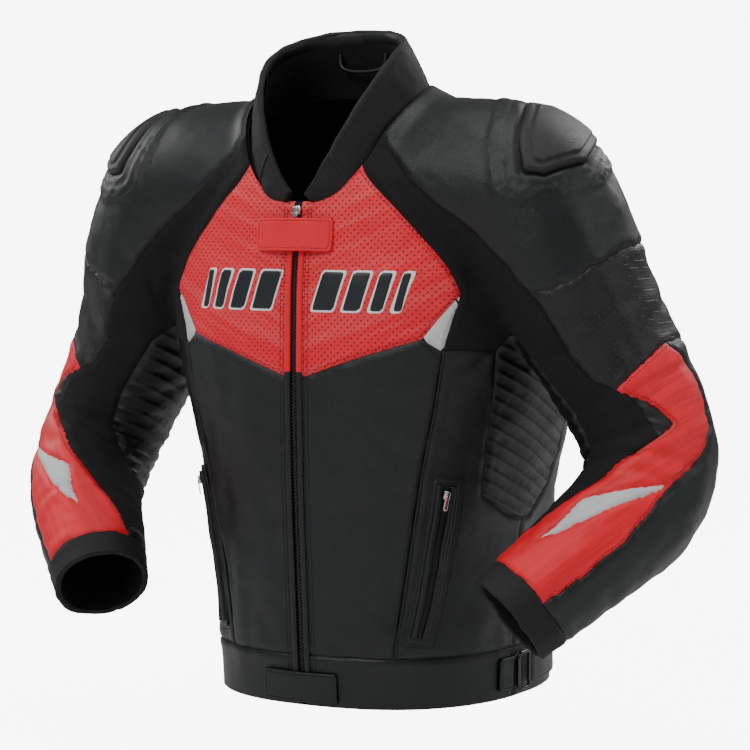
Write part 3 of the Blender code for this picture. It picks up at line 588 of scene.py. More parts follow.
# ---------------------------------------------------------------- pieces from points

PIECES = {}
SIDES = ((1, "left"), (-1, "right"))
FOLD_SEEDS = {1: 11, -1: 47}
MATERIALS = {}


def new_piece(name, points, faces, material, normals=None, numbers=None):
    """A finished mesh object, moved so that the hanging loop is the origin."""
    placed = np.asarray(points, float) - LOOP
    mesh = bpy.data.meshes.new(name)
    mesh.vertices.add(len(placed))
    mesh.vertices.foreach_set("co", placed.astype(np.float32).ravel())
    faces = np.asarray(faces)
    sides = faces.shape[1]
    mesh.loops.add(faces.size)
    mesh.loops.foreach_set("vertex_index", faces.astype(np.int32).ravel())
    mesh.polygons.add(len(faces))
    mesh.polygons.foreach_set("loop_start", np.arange(0, faces.size, sides, dtype=np.int32))
    mesh.update(calc_edges=True)
    mesh.validate()
    mesh.polygons.foreach_set("use_smooth", np.ones(len(mesh.polygons), bool))
    for key, value in (numbers or {}).items():
        held = mesh.attributes.new(key, "FLOAT", "POINT")
        held.data.foreach_set("value", value.astype(np.float32))
    if normals is not None and len(normals) == len(mesh.vertices):
        mesh.normals_split_custom_set_from_vertices([tuple(n) for n in normals])
    mesh.materials.append(MATERIALS[material])
    made = bpy.data.objects.new(name, mesh)
    bpy.context.scene.collection.objects.link(made)
    PIECES[name] = made
    return made


def joined_arrays(parts):
    """Several (points, faces) pairs as one."""
    points, faces, start = [], [], 0
    for p, f in parts:
        points.append(np.asarray(p, float))
        faces.append(np.asarray(f) + start)
        start += len(p)
    return np.concatenate(points), np.concatenate(faces)


def level_lines(skin, name, level):
    """Runs of points along a line that the skin was split at."""
    value = skin.fields[name]
    on_line = np.abs(value - level) < 1e-7
    f = skin.faces
    ends = np.concatenate([f[:, [0, 1]], f[:, [1, 2]], f[:, [2, 0]]])
    ends = ends[on_line[ends[:, 0]] & on_line[ends[:, 1]]]
    links = {}
    for a, b in np.unique(np.sort(ends, axis=1), axis=0).tolist():
        links.setdefault(a, []).append(b)
        links.setdefault(b, []).append(a)
    runs, seen = [], set()
    starts = [k for k, v in links.items() if len(v) == 1] + list(links)
    for start in starts:
        if start in seen:
            continue
        run, here = [start], start
        seen.add(start)
        while True:
            following = [k for k in links[here] if k not in seen]
            if not following:
                break
            here = following[0]
            seen.add(here)
            run.append(here)
        if len(run) > 3:
            if run[0] in links[run[-1]] and len(run) > 6:
                run.append(run[0])
            runs.append(run)
    return runs


def even_spacing(points, normals, pitch):
    """Places, directions and normals at even steps along a run of points."""
    step = np.linalg.norm(np.diff(points, axis=0), axis=1)
    keep = np.concatenate([[True], step > 1e-6])
    points, normals = points[keep], normals[keep]
    along = np.concatenate([[0], np.cumsum(np.linalg.norm(np.diff(points, axis=0), axis=1))])
    count = int(along[-1] / pitch)
    if count < 1:
        return None
    at = (np.arange(count) + 0.5) * along[-1] / count
    here = np.stack([np.interp(at, along, points[:, i]) for i in range(3)], axis=1)
    ahead = np.stack([np.interp(at + pitch / 3, along, points[:, i]) for i in range(3)], axis=1)
    behind = np.stack([np.interp(at - pitch / 3, along, points[:, i]) for i in range(3)], axis=1)
    up = np.stack([np.interp(at, along, normals[:, i]) for i in range(3)], axis=1)
    way = ahead - behind
    good = np.linalg.norm(way, axis=1) > 1e-7
    way, here, up = way[good], here[good], up[good]
    way /= np.linalg.norm(way, axis=1)[:, None]
    up /= np.linalg.norm(up, axis=1)[:, None]
    return here, way, up


STITCH_SHAPE = np.array([
    (-0.5, 0.0, -0.1), (-0.32, -0.5, 0.1), (-0.32, 0.0, 0.75), (-0.32, 0.5, 0.1),
    (0.32, -0.5, 0.1), (0.32, 0.0, 0.75), (0.32, 0.5, 0.1), (0.5, 0.0, -0.1),
])
STITCH_FACES = np.array([
    (0, 1, 2), (0, 2, 3), (1, 4, 2), (2, 4, 5), (2, 5, 3), (3, 5, 6), (4, 7, 5), (5, 7, 6),
    (0, 3, 1), (1, 3, 4), (4, 3, 6), (4, 6, 7),
])


def stitches(places, length=None, wide=0.00062, tall=0.00042, lift=0.00004):
    """Small raised threads at each place, as one pair of arrays."""
    length = length or sizes().stitch_length
    here, way, up = places
    across = np.cross(up, way)
    across /= np.linalg.norm(across, axis=1)[:, None]
    up = np.cross(way, across)
    shape = STITCH_SHAPE * (length, wide, tall)
    points = (
        here[:, None]
        + shape[None, :, 0, None] * way[:, None]
        + shape[None, :, 1, None] * across[:, None]
        + (shape[None, :, 2, None] + lift) * up[:, None]
    )
    faces = STITCH_FACES[None] + (np.arange(len(here)) * len(STITCH_SHAPE))[:, None, None]
    return points.reshape(-1, 3), faces.reshape(-1, 3)


# ---------------------------------------------------------------- materials


def socket_of(tree, node, name, value):
    """Sets a socket to a number or links it to another node's output."""
    target = node.inputs[name]
    if isinstance(value, bpy.types.NodeSocket):
        tree.links.new(value, target)
    else:
        target.default_value = value


def add_node(tree, kind, settings=None, **inputs):
    node = tree.nodes.new(kind)
    for key, value in (settings or {}).items():
        setattr(node, key, value)
    for name, value in inputs.items():
        socket_of(tree, node, name.replace("_", " ") if name not in node.inputs else name, value)
    return node


def calculate(tree, operation, first, second=0.0, third=0.0):
    node = tree.nodes.new("ShaderNodeMath")
    node.operation = operation
    for i, value in enumerate((first, second, third)):
        if isinstance(value, bpy.types.NodeSocket):
            tree.links.new(value, node.inputs[i])
        else:
            node.inputs[i].default_value = value
    return node.outputs[0]


def new_group(name, numbers, outputs, build):
    """A shader node group: number inputs with defaults, and outputs by name from build."""
    tree = bpy.data.node_groups.new(name, "ShaderNodeTree")
    for key, default in numbers:
        made = tree.interface.new_socket(key, in_out="INPUT", socket_type="NodeSocketFloat")
        made.default_value = default
    for key in outputs:
        tree.interface.new_socket(key, in_out="OUTPUT", socket_type="NodeSocketFloat")
    given = tree.nodes.new("NodeGroupInput")
    result = tree.nodes.new("NodeGroupOutput")
    for key, value in zip(outputs, build(tree, given.outputs)):
        tree.links.new(value, result.inputs[key])
    return tree


def object_place(tree):
    return tree.nodes.new("ShaderNodeTexCoord").outputs["Object"]


def leather_grain(tree, given):
    place = object_place(tree)
    cells = add_node(
        tree, "ShaderNodeTexVoronoi", {"feature": "DISTANCE_TO_EDGE"}, Vector=place, Scale=given["Scale"]
    )
    fine = add_node(
        tree, "ShaderNodeTexNoise", None, Vector=place,
        Scale=calculate(tree, "MULTIPLY", given["Scale"], 1.9), Detail=3.0
    )
    soft = add_node(tree, "ShaderNodeTexNoise", None, Vector=place, Scale=22.0, Detail=3.0)
    pebble = calculate(
        tree, "POWER",
        calculate(tree, "MINIMUM", calculate(tree, "MULTIPLY", cells.outputs["Distance"], 3.2), 1.0), 0.6
    )
    height = calculate(tree, "MULTIPLY_ADD", fine.outputs[0], 0.35, pebble)
    return height, soft.outputs[0]


def knit_rows(tree, given):
    place = object_place(tree)
    fine = add_node(tree, "ShaderNodeTexNoise", None, Vector=place, Scale=given["Scale"], Detail=2.0)
    split = add_node(tree, "ShaderNodeSeparateXYZ", None, Vector=place)
    across = calculate(tree, "ADD", split.outputs[0], calculate(tree, "MULTIPLY", split.outputs[1], 0.7))
    rows = calculate(tree, "SINE", calculate(tree, "MULTIPLY", across, 2600.0))
    columns = calculate(tree, "SINE", calculate(tree, "MULTIPLY", split.outputs[2], 2600.0))
    weave = calculate(tree, "MULTIPLY", rows, columns)
    return calculate(tree, "MULTIPLY_ADD", fine.outputs[0], 0.8, weave), fine.outputs[0]


def pinholes(tree, given):
    """Round holes on a slanted grid seen square to the front, 1 in a hole and 0 between."""
    split = add_node(tree, "ShaderNodeSeparateXYZ", None, Vector=object_place(tree))
    x, z = split.outputs[0], split.outputs[2]
    one = calculate(tree, "DIVIDE", calculate(tree, "ADD", x, z), given["Pitch"])
    two = calculate(tree, "DIVIDE", calculate(tree, "SUBTRACT", x, z), given["Pitch"])
    a = calculate(tree, "SUBTRACT", calculate(tree, "FRACT", calculate(tree, "ADD", one, 400.0)), 0.5)
    b = calculate(tree, "SUBTRACT", calculate(tree, "FRACT", calculate(tree, "ADD", two, 400.0)), 0.5)
    far = calculate(
        tree, "SQRT",
        calculate(tree, "ADD", calculate(tree, "MULTIPLY", a, a), calculate(tree, "MULTIPLY", b, b))
    )
    hole = calculate(
        tree, "SUBTRACT", 1.0,
        calculate(
            tree, "SMOOTH_MIN",
            calculate(
                tree, "MAXIMUM",
                calculate(tree, "MULTIPLY", calculate(tree, "SUBTRACT", far, given["Size"]), 14.0), 0.0
            ),
            1.0, 0.05
        )
    )
    return [hole]


def brush_streaks(tree, given):
    """Long thin uneven bands that run upwards and outwards."""
    split = add_node(tree, "ShaderNodeSeparateXYZ", None, Vector=object_place(tree))
    x, y, z = split.outputs
    side = calculate(tree, "ABSOLUTE", x)
    across = calculate(tree, "SUBTRACT", z, calculate(tree, "MULTIPLY", side, given["Slope"]))
    along = calculate(tree, "ADD", calculate(tree, "MULTIPLY", z, 0.35), side)
    flat = add_node(
        tree, "ShaderNodeCombineXYZ", None, X=calculate(tree, "MULTIPLY", along, 5.0),
        Y=calculate(tree, "MULTIPLY", across, 90.0), Z=calculate(tree, "MULTIPLY", y, 6.0)
    )
    noise_bands = add_node(
        tree, "ShaderNodeTexNoise", None, Vector=flat.outputs[0], Scale=1.0, Detail=5.0, Roughness=0.65
    )
    band = calculate(
        tree, "SMOOTH_MAX",
        calculate(tree, "MULTIPLY", calculate(tree, "SUBTRACT", noise_bands.outputs[0], 0.44), 5.0), 0.0,
        0.1
    )
    return [calculate(tree, "MINIMUM", band, 1.0)]


GROUPS = {}


def make_groups():
    GROUPS["grain"] = new_group("leather_grain", [("Scale", 620.0)], ["Height", "Wear"], leather_grain)
    GROUPS["knit"] = new_group("knit_rows", [("Scale", 900.0)], ["Height", "Fuzz"], knit_rows)
    GROUPS["holes"] = new_group("pinholes", [("Pitch", 0.0068), ("Size", 0.12)], ["Hole"], pinholes)
    GROUPS["streaks"] = new_group("brush_streaks", [("Slope", 0.45)], ["Band"], brush_streaks)
    GROUPS["ribs"] = new_group("rib_waves", [], ["Crest"], rib_waves)


def group_node(tree, key, **numbers):
    node = tree.nodes.new("ShaderNodeGroup")
    node.node_tree = GROUPS[key]
    for name, value in numbers.items():
        node.inputs[name].default_value = value
    return node


def mixed_colour(tree, share, first, second):
    node = tree.nodes.new("ShaderNodeMix")
    node.data_type = "RGBA"
    socket_of(tree, node, 0, share) if not isinstance(
        share, bpy.types.NodeSocket
    ) else tree.links.new(share, node.inputs[0])
    for i, value in ((6, first), (7, second)):
        if isinstance(value, bpy.types.NodeSocket):
            tree.links.new(value, node.inputs[i])
        else:
            node.inputs[i].default_value = (*value, 1.0)
    return node.outputs[2]


def start_material(name, colour, roughness, metallic=0.0, coat=0.0, sheen=0.0):
    material = bpy.data.materials.new(name)
    material.use_nodes = True
    tree = material.node_tree
    shader = tree.nodes["Principled BSDF"]
    shader.inputs["Base Color"].default_value = (*colour, 1.0)
    shader.inputs["Roughness"].default_value = roughness
    shader.inputs["Metallic"].default_value = metallic
    shader.inputs["Coat Weight"].default_value = coat
    shader.inputs["Coat Roughness"].default_value = 0.3
    shader.inputs["Sheen Weight"].default_value = sheen
    MATERIALS[name] = material
    return tree, shader


def add_bump(tree, shader, height, distance, strength=1.0):
    bump = add_node(tree, "ShaderNodeBump", None, Height=height, Distance=distance, Strength=strength)
    tree.links.new(bump.outputs["Normal"], shader.inputs["Normal"])


def leather(name, dark, light, roughness, scale=620.0, streaks=None, holes=False, print_edge=None):
    tree, shader = start_material(name, dark, roughness)
    grain = group_node(tree, "grain", Scale=scale)
    wear = grain.outputs["Wear"]
    colour = mixed_colour(tree, calculate(tree, "MULTIPLY", wear, 0.9), dark, light)
    if streaks is not None:
        bands = group_node(tree, "streaks", Slope=streaks[0])
        colour = mixed_colour(
            tree, calculate(tree, "MULTIPLY", bands.outputs["Band"], streaks[2]), colour, streaks[1]
        )
    height = grain.outputs["Height"]
    if holes:
        hole = group_node(tree, "holes").outputs["Hole"]
        colour = mixed_colour(tree, calculate(tree, "MULTIPLY", hole, 0.88), colour, (0.03, 0.0008, 0.001))
        height = calculate(tree, "SUBTRACT", height, calculate(tree, "MULTIPLY", hole, 3.0))
    tree.links.new(colour, shader.inputs["Base Color"])
    rough = calculate(tree, "MULTIPLY_ADD", wear, 0.16, roughness - 0.08)
    tree.links.new(rough, shader.inputs["Roughness"])
    add_bump(tree, shader, height, 0.00016, 0.75)


def rib_waves(tree, given):
    """Ribs that slope down towards the front: 0 in the valleys, 1 on the crests. Drives the rib bumps and a
    painted sheen on the crests.
    """
    split = add_node(tree, "ShaderNodeSeparateXYZ", None, Vector=object_place(tree))
    slope = calculate(tree, "MULTIPLY_ADD", split.outputs[1], 0.42, split.outputs[2])
    wave = calculate(tree, "SINE", calculate(tree, "MULTIPLY", slope, 2 * math.pi / 0.0125))
    return (calculate(tree, "MULTIPLY_ADD", wave, 0.5, 0.5),)


def cloth(name, colour, roughness, distance=0.00022, scale=900.0, ribs=False):
    tree, shader = start_material(name, colour, roughness)
    knit = group_node(tree, "knit", Scale=scale)
    height = knit.outputs["Height"]
    lighter = tuple(min(1.0, c * 1.7 + 0.002) for c in colour)
    tree.links.new(
        mixed_colour(tree, calculate(tree, "MULTIPLY", knit.outputs["Fuzz"], 0.7), colour, lighter),
        shader.inputs["Base Color"]
    )
    if ribs:
        crest = calculate(tree, "POWER", group_node(tree, "ribs").outputs["Crest"], 3.0)
        height = calculate(tree, "MULTIPLY_ADD", crest, 7.0, height)
        # Painted sheen: the colour on the rib crests is made 4.5 times lighter, besides their real bumps
        tree.links.new(mixed_colour(tree, crest, colour, shade(colour, 4.5)), shader.inputs["Base Color"])
    add_bump(tree, shader, height, distance, 0.7)


def shade(colour, share):
    return tuple(part * share for part in colour)


def make_materials():
    make_groups()
    black, red, silver = tuple(colours().leather), tuple(colours().red), tuple(colours().silver)
    stretch = tuple(colours().stretch)
    leather("black_leather", shade(black, 0.36), black, 0.41)
    leather("black_pierced", shade(black, 0.36), black, 0.41, holes=True)
    leather("red_leather", shade(red, 0.91), red, 0.50, streaks=(0.42, (0.95, 0.10, 0.11), 0.62), holes=True)
    leather("red_sleeve", shade(red, 0.91), red, 0.48, streaks=(0.9, (0.60, 0.001, 0.004), 0.6))
    leather("red_plain", shade(red, 0.88), shade(red, 0.98), 0.50)
    leather("cup_satin", (0.0030, 0.0034, 0.0038), (0.0055, 0.0060, 0.0066), 0.30, scale=1500.0)
    cloth("stretch_fabric", stretch, 0.88)
    # Ribbed stretch with a painted sheen on its rib crests
    cloth("ribbed_fabric", shade(stretch, 1.5), 0.42, ribs=True)
    cloth("neoprene", (0.0022, 0.0023, 0.0026), 0.72, 0.00008)
    cloth("lining", (0.0016, 0.0016, 0.0019), 0.92, 0.00030, 500.0)
    cloth("foam_grey", (0.05, 0.055, 0.06), 0.95, 0.0002, 400.0)
    leather("silver_reflective", shade(silver, 0.86), silver, 0.42, scale=1200.0)
    start_material("print_grey", tuple(colours().bars), 0.42)
    start_material("print_white", (0.92, 0.92, 0.92), 0.45)
    start_material("thread", (0.009, 0.010, 0.011), 0.55)
    start_material("thread_red", (0.42, 0.010, 0.016), 0.5)
    start_material("zip_teeth", (0.009, 0.009, 0.010), 0.33)
    start_material("zip_tape", (0.002, 0.002, 0.0022), 0.85)
    start_material("zip_metal", (0.62, 0.62, 0.62), 0.22, metallic=1.0)
    start_material("ring_steel", (0.075, 0.078, 0.082), 0.26, metallic=1.0)


# ---------------------------------------------------------------- building the skin

SKIN = {}


def evened(skin, values, rounds=18):
    """Each value averaged with its neighbours' values, over and over, away from the open edge."""
    edges = np.concatenate([skin.faces[:, [0, 1]], skin.faces[:, [1, 2]], skin.faces[:, [2, 0]]])
    near, far = edges[:, 0], edges[:, 1]
    count = np.bincount(near, minlength=len(values)).astype(float)[:, None]
    inner = (skin.points[:, 0] > 0.02)[:, None]
    for _ in range(rounds):
        total = np.zeros_like(values)
        np.add.at(total, near, values[far])
        values = np.where(inner, total / np.maximum(count, 1), values)
    return values


def base_skin():
    points, faces = garment_form(sizes().cell)
    fields = {"x": points[:, 0].copy()}
    skin = Skin(points, faces, fields)
    normals = vertex_normals(points, faces)
    for i, key in enumerate(("nx", "ny", "nz")):
        skin.fields[key] = normals[:, i]
    half, _ = divide(skin, "x", 0.0)
    p = half.points
    half.points[np.abs(half.fields["x"]) < 1e-7, 0] = 0.0
    run, angle, _ = arm_coordinates(p)
    run, across, up = evened(half, np.stack([run, np.cos(angle), np.sin(angle)], axis=1)).T
    angle = np.arctan2(up, across)
    x, y, z = p.T
    edge_x = np.where(
        z < 0.30, np.minimum(0.200, np.interp(z, TORSO_TABLE[:, 0], TORSO_TABLE[:, 1]) + 0.008), 0.200
    )
    arm = np.clip((x - edge_x) / 0.020, 0, 1)
    half.fields.update({"run": run, "cos": np.cos(angle), "sin": np.sin(angle), "arm": arm})
    true = lambda value, floor=0.2: surface_distance(half.points, half.faces, value, floor)
    is_arm = x > edge_x
    ring = smooth_line(NECK_SEAM, 4)
    lean = ring[:, 1] * 0.764 + ring[:, 2] * 0.645
    outline = list(zip(ring[:, 0], lean)) + list(zip(-ring[::-1, 0], lean[::-1]))
    inside = signed_distance(outline, np.stack([x, y * 0.764 + z * 0.645], axis=1))
    f = half.fields
    f["neck"] = true(np.minimum(inside, -0.645 * y + 0.764 * z - 0.43))
    f["hem"] = z - 0.0015
    f["band"] = true(z - 0.0495)
    f["side_seam"] = true(-0.004 - y, 0.5)
    f["end"] = np.where(is_arm, 0.600 - run, 1.0)
    f["cuff"] = np.where(is_arm, run - CUFF_START, -1.0)
    f["low_arm"] = np.where(is_arm & (z < 0.40), (p - ELBOW) @ ELBOW_ALONG - ELBOW_SPLIT, -1.0)
    for key, shape in (("red", RED_ARM), ("outer", OUTER_ARM), ("chevron", CHEVRON)):
        f[key] = np.where(is_arm & (run > 0.22), arm_outline(shape, run, angle), -0.05)
    above = signed_distance(
        YOKE_LINE + [(0.36, 0.300), (0.46, 0.24), (0.46, 0.74), (0.05, 0.74)], p[:, [0, 2]]
    )
    edge = np.clip((x - 0.175) / 0.055, 0, 1)
    behind = (z - (0.505 - 0.30 * x)) * (1 - edge) + (math.radians(101) - np.abs(angle)) * 0.07 * edge
    middle = np.where(is_arm, np.interp(run, (0.12, 0.27, 0.40), (-0.050, -0.030, -0.030)), -0.050)
    f["yoke"] = true(np.where(y > middle, behind, above))
    wave = np.interp(np.degrees(angle), [a for _, a in BICEP], [s for s, _ in BICEP])
    f["bicep"] = np.where(is_arm, run - wave, -0.05)
    f["chest"] = true(front_outline(CHEST, p, -0.05))
    f["wedge"] = true(front_outline(WEDGE, p, -0.05))
    f["front"] = true(front_outline(FRONT, p, -0.02))
    f["side"] = true(np.where(x > 0.10, signed_distance(smooth_closed(SIDE), p[:, [1, 2]]), -0.05), 0.4)
    f["back_low"] = np.where(y > 0, 0.340 - z, 0.02)
    f["lumbar"] = true(
        np.where(
            y > 0.05,
            signed_distance([(-0.13, 0.150), (0.122, 0.150), (0.112, 0.205), (-0.13, 0.205)], p[:, [0, 2]]),
            -0.05
        )
    )
    f["behind"] = true(y + 0.004, 0.5)
    f["pocket_top"] = z - 0.345
    f["placket"] = x - 0.0042
    flat = (p - CUP_MIDDLE) @ CUP_WAYS.T
    cup = signed_distance(smooth_closed(CUP), flat[:, :2])
    f["cup"] = np.where(flat[:, 2] > -0.05, np.maximum(cup, -0.05), -0.05)
    f["seam"] = np.full(len(p), 0.05)
    d = -f["cup"]
    ridge = np.clip(d / 0.004, 0, 1) * np.clip((0.026 - d) / 0.005, 0, 1)
    f["lift"] = ridge * (0.0030 - 0.0018 * bump_at(d, 0.0105, 0.0014) - 0.0018 * bump_at(d, 0.0185, 0.0014))
    band_pad = bump_at(f["bicep"], 0.0, 0.016) * (is_arm & (np.degrees(angle) < 20))
    f["lift"] = f["lift"] + 0.0016 * band_pad
    SKIN["left"] = half
    SKIN["form"] = (points, faces, normals)


SEAM_ROWS = (0.0015, 0.0032, 0.0046)


def cut(skin, name, level=0.0):
    """Cuts a panel out along a seam, with extra rows of points beside the seam on both sides."""
    skin.split(name, level)
    for row in SEAM_ROWS:
        skin.split(name, level + row)
        skin.split(name, level - row)
    skin.fields["seam"] = np.minimum(skin.fields["seam"], np.abs(skin.fields[name] - level))
    return skin.part(name, True, level), skin.part(name, False, level)


def shaped(skin, side, seed, flat=0.0):
    """The panel's points on one side of the garment with folds and seam valleys, and its normals."""
    points = skin.points * (side, 1, 1)
    n = np.stack([skin.fields["nx"], skin.fields["ny"], skin.fields["nz"]], axis=1)
    n /= np.linalg.norm(n, axis=1)[:, None]
    n = n * (side, 1, 1)
    angle = np.arctan2(skin.fields["sin"], skin.fields["cos"])
    move = folds(points, n, skin.fields["run"], angle, skin.fields["arm"], seed)
    same = folds(skin.points, n, skin.fields["run"], angle, skin.fields["arm"], 11)
    share = np.clip(1.4 - np.abs(skin.points[:, 0]) / 0.05, 0, 1)
    move = move * (1 - share) + same * share
    calm = np.clip(np.minimum(skin.points[:, 2] - 0.0, 0.05) / 0.05, 0.25, 1.0)
    calm *= 1 - 0.6 * np.clip((skin.points[:, 2] - 0.53) / 0.04, 0, 1) * (skin.points[:, 0] < 0.12)
    calm *= 1 - 0.55 * np.clip(1 - np.abs(skin.points[:, 0]) / 0.035, 0, 1) * (skin.points[:, 1] < 0)
    move = move * calm * (1 - flat) * sizes().fold_depth
    move = move * (1 - 0.85 * bump_at(skin.fields["cup"], 0.0, 0.045)) + skin.fields["lift"]
    moved = points + n * (move + seam_profile(skin.fields["seam"], sizes().seam_depth))[:, None]
    return moved, n


def attach(made, arm_zone=None, side=1):
    """Lets a piece move with the body it lies on. A piece that crosses a joint stays in place with no body."""
    name = "left" if side > 0 else "right"
    x = np.array([abs(v.co.x) for v in made.data.vertices])
    if arm_zone == "low":
        where = ELBOW - LOOP
        start, end = (where + ELBOW_ALONG * k for k in ELBOW_BEND)
        proj = np.array([(np.array(v.co) * (side, 1, 1) - where) @ ELBOW_ALONG for v in made.data.vertices])
        if proj.min() >= ELBOW_BEND[1]:
            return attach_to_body(made, "forearm_" + name)
        start, end = start * (side, 1, 1), end * (side, 1, 1)
        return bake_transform(made)
    if x.max() <= SHOULDER_BEND[0]:
        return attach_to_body(made, "jacket_body")
    if x.min() >= SHOULDER_BEND[1]:
        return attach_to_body(made, "sleeve_" + name)
    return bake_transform(made)


THREADS = {}
SURFACES = []
LOOSE_THREADS = {}


def sew(zone, side, places, **sizes):
    if places is not None:
        THREADS.setdefault((zone, side), []).append(stitches(places, **sizes))


def sew_rows(skin, moved, normals, names, rows, zone, side, pitch=0.0036):
    """Topstitching at given distances inside a panel's edges."""
    for name, level in names:
        for row in rows:
            for run in level_lines(skin, name, level + row):
                run = [i for i in run if skin.fields["seam"][i] > abs(row) - 0.0009]
                if len(run) > 3:
                    points = moved[run]
                    gap = np.linalg.norm(np.diff(points, axis=0), axis=1)
                    breaks = np.nonzero(gap > 0.02)[0]
                    for piece in np.split(np.arange(len(run)), breaks + 1):
                        if len(piece) > 3:
                            sew(zone, side, even_spacing(points[piece], normals[run][piece], pitch))


def panel_pair(name, skin, material, replaced, zone=None, rows=(), stitch_names=(), flat=0.0):
    """The left panel and its mirror image on the right, each with its own folds."""
    for side, word in SIDES:
        moved, normals = shaped(skin, side, FOLD_SEEDS[side], flat)
        faces = skin.faces if side > 0 else skin.faces[:, ::-1]
        surface = vertex_normals(moved, faces)
        if zone is None:
            SURFACES.append((moved, faces))
        made = new_piece(name + "_" + word, moved, faces, material, None)
        attach(made, zone, side)
        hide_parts(*[node + "_" + word for node in replaced if not node.endswith("!")])
        if rows:
            sew_rows(skin, moved, surface, stitch_names, rows, zone or "body", side)


def middle_panel(name, skin, material, replaced, rows=(), stitch_names=()):
    """One panel over the middle of the back, from the left half and its mirror image."""
    parts = []
    for side in (1, -1):
        moved, normals = shaped(skin, side, FOLD_SEEDS[side])
        faces = skin.faces if side > 0 else skin.faces[:, ::-1]
        if rows:
            sew_rows(skin, moved, vertex_normals(moved, faces), stitch_names, rows, "body", side)
        parts.append((moved, faces))
        SURFACES.append((moved, faces))
    points, faces = joined_arrays(parts)
    points, faces = welded(points, faces)
    made = new_piece(name, points, faces, material)
    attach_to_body(made, "jacket_body")
    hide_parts(*replaced)


def welded(points, faces):
    key = np.round(points, 5)
    _, first, index = np.unique(key, axis=0, return_index=True, return_inverse=True)
    faces = index.reshape(-1)[faces]
    good = (faces[:, 0] != faces[:, 1]) & (faces[:, 1] != faces[:, 2]) & (faces[:, 0] != faces[:, 2])
    return points[first], faces[good]


def build_panels():
    """Cuts the skin into its leather and stretch panels."""
    rest = SKIN["left"]
    _, rest = cut(rest, "neck")
    rest, _ = divide(rest, "hem")
    rest, _ = divide(rest, "end")
    build_lining(rest.copy())
    cuff, rest = cut(rest, "cuff")
    panel_pair("cuff", cuff, "neoprene", ["cuff"], "low", (0.0046,), [("cuff", 0.0)], flat=0.6)
    red, rest = cut(rest, "red")
    chevron, red = cut(red, "chevron")
    panel_pair(
        "forearm_chevron", chevron, "silver_reflective", ["forearm_chevron"], "low"
    )
    low, high = divide(red, "low_arm")
    panel_pair(
        "forearm_red", low, "red_sleeve", ["forearm_red"], "low", (0.0032,), [("red", 0.0)]
    )
    panel_pair("elbow_red", high, "red_sleeve", [], None, (0.0032,), [("red", 0.0)])
    outer, rest = cut(rest, "outer")
    low, high = divide(outer, "low_arm")
    panel_pair(
        "forearm_outer", low, "black_leather", ["forearm_outer"], "low", (-0.0032, 0.0032),
        [("outer", 0.0)]
    )
    panel_pair("elbow_outer", high, "black_leather", [], None, (0.0032,), [("outer", 0.0)])
    band, rest = cut_below(rest, "band")
    front, back = cut(band, "side_seam")
    waist_fronts(front)
    middle_panel(
        "waistband_back", back, "black_leather", ["waistband_back"], (-0.0032,),
        [("band", 0.0)]
    )
    yoke, rest = cut(rest, "yoke")
    SKIN["cup"] = yoke.copy()
    sleeve, shoulder = cut(yoke, "bicep")
    panel_pair(
        "shoulder_yoke", shoulder, "black_leather", ["shoulder_yoke"],
        rows=(0.0032, -0.0032), stitch_names=[("yoke", 0.0), ("bicep", 0.0)]
    )
    panel_pair(
        "upper_sleeve", sleeve, "black_pierced", ["upper_sleeve"], rows=(0.0032,),
        stitch_names=[("yoke", 0.0), ("bicep", 0.0)]
    )
    chest, rest = cut(rest, "chest")
    wedge, rest = cut(rest, "wedge")
    chest, _ = divide(chest, "placket")
    SKIN["chest"] = chest
    panel_pair("chest_wedge", wedge, "silver_reflective", ["chest_wedge"], flat=0.5)
    panel_pair(
        "chest_panel", chest, "red_leather", ["chest_panel"], rows=(0.0032,),
        stitch_names=[("chest", 0.0)]
    )
    fronts, rest = cut(rest, "front")
    fronts, _ = divide(fronts, "placket")
    panel_pair(
        "front_panel", fronts, "black_leather", ["front_panel"], rows=(0.0032,),
        stitch_names=[("front", 0.0)]
    )
    side, rest = cut(rest, "side")
    side_stretch(side)
    lumbar, rest = cut(rest, "lumbar")
    middle_panel("lumbar_stretch", lumbar, "stretch_fabric", ["lumbar_stretch"])
    behind, ahead = cut(rest, "behind")
    low, high = cut(behind, "back_low")
    arm_back, body_back = divide_arm(high)
    middle_panel(
        "back_panel_lower", low, "black_leather", ["back_panel_lower"], (0.0032,),
        [("back_low", 0.0)]
    )
    middle_panel(
        "back_panel_upper", body_back, "black_leather", ["back_panel_upper"], (-0.0032,),
        [("back_low", 0.0), ("yoke", 0.0)]
    )
    ahead_low, ahead_high = divide_pocket(ahead)
    panel_pair(
        "pocket_panel", ahead_low, "black_leather", ["pocket_panel"], rows=(-0.0032,),
        stitch_names=[("front", 0.0), ("side", 0.0)]
    )
    merged = merge_skins(ahead_high, arm_back)
    low, high = divide(merged, "low_arm")
    panel_pair(
        "raglan_band", high, "stretch_fabric", ["raglan_band", "armhole_gusset"], None
    )
    panel_pair("elbow_gusset", low, "stretch_fabric", ["elbow_gusset"], "low")


def cut_below(skin, name):
    above, below = cut(skin, name)
    return below, above


def divide_arm(skin):
    """Back panel inside the armhole, and the stretch beyond it."""
    skin.fields["hole"] = skin.points[:, 0] - 0.186 + 0.25 * np.clip(0.46 - skin.points[:, 2], -0.1, 0.1)
    return cut(skin, "hole")


def divide_pocket(skin):
    """Lower front panel beside the pocket, and the stretch above it."""
    z = skin.points[:, 2]
    skin.fields["rise"] = np.where(skin.points[:, 0] > 0.21, -0.05, 0.345 - z)
    return cut(skin, "rise")


def merge_skins(first, second):
    keys = set(first.fields) & set(second.fields)
    fields = {k: np.concatenate([first.fields[k], second.fields[k]]) for k in keys}
    faces = np.concatenate([first.faces, second.faces + len(first.points)])
    return Skin(np.concatenate([first.points, second.points]), faces, fields)


def waist_fronts(skin):
    skin, _ = divide(skin, "placket")
    panel_pair(
        "waistband_front", skin, "black_leather", ["waistband_front"], rows=(-0.0032,),
        stitch_names=[("band", 0.0)]
    )


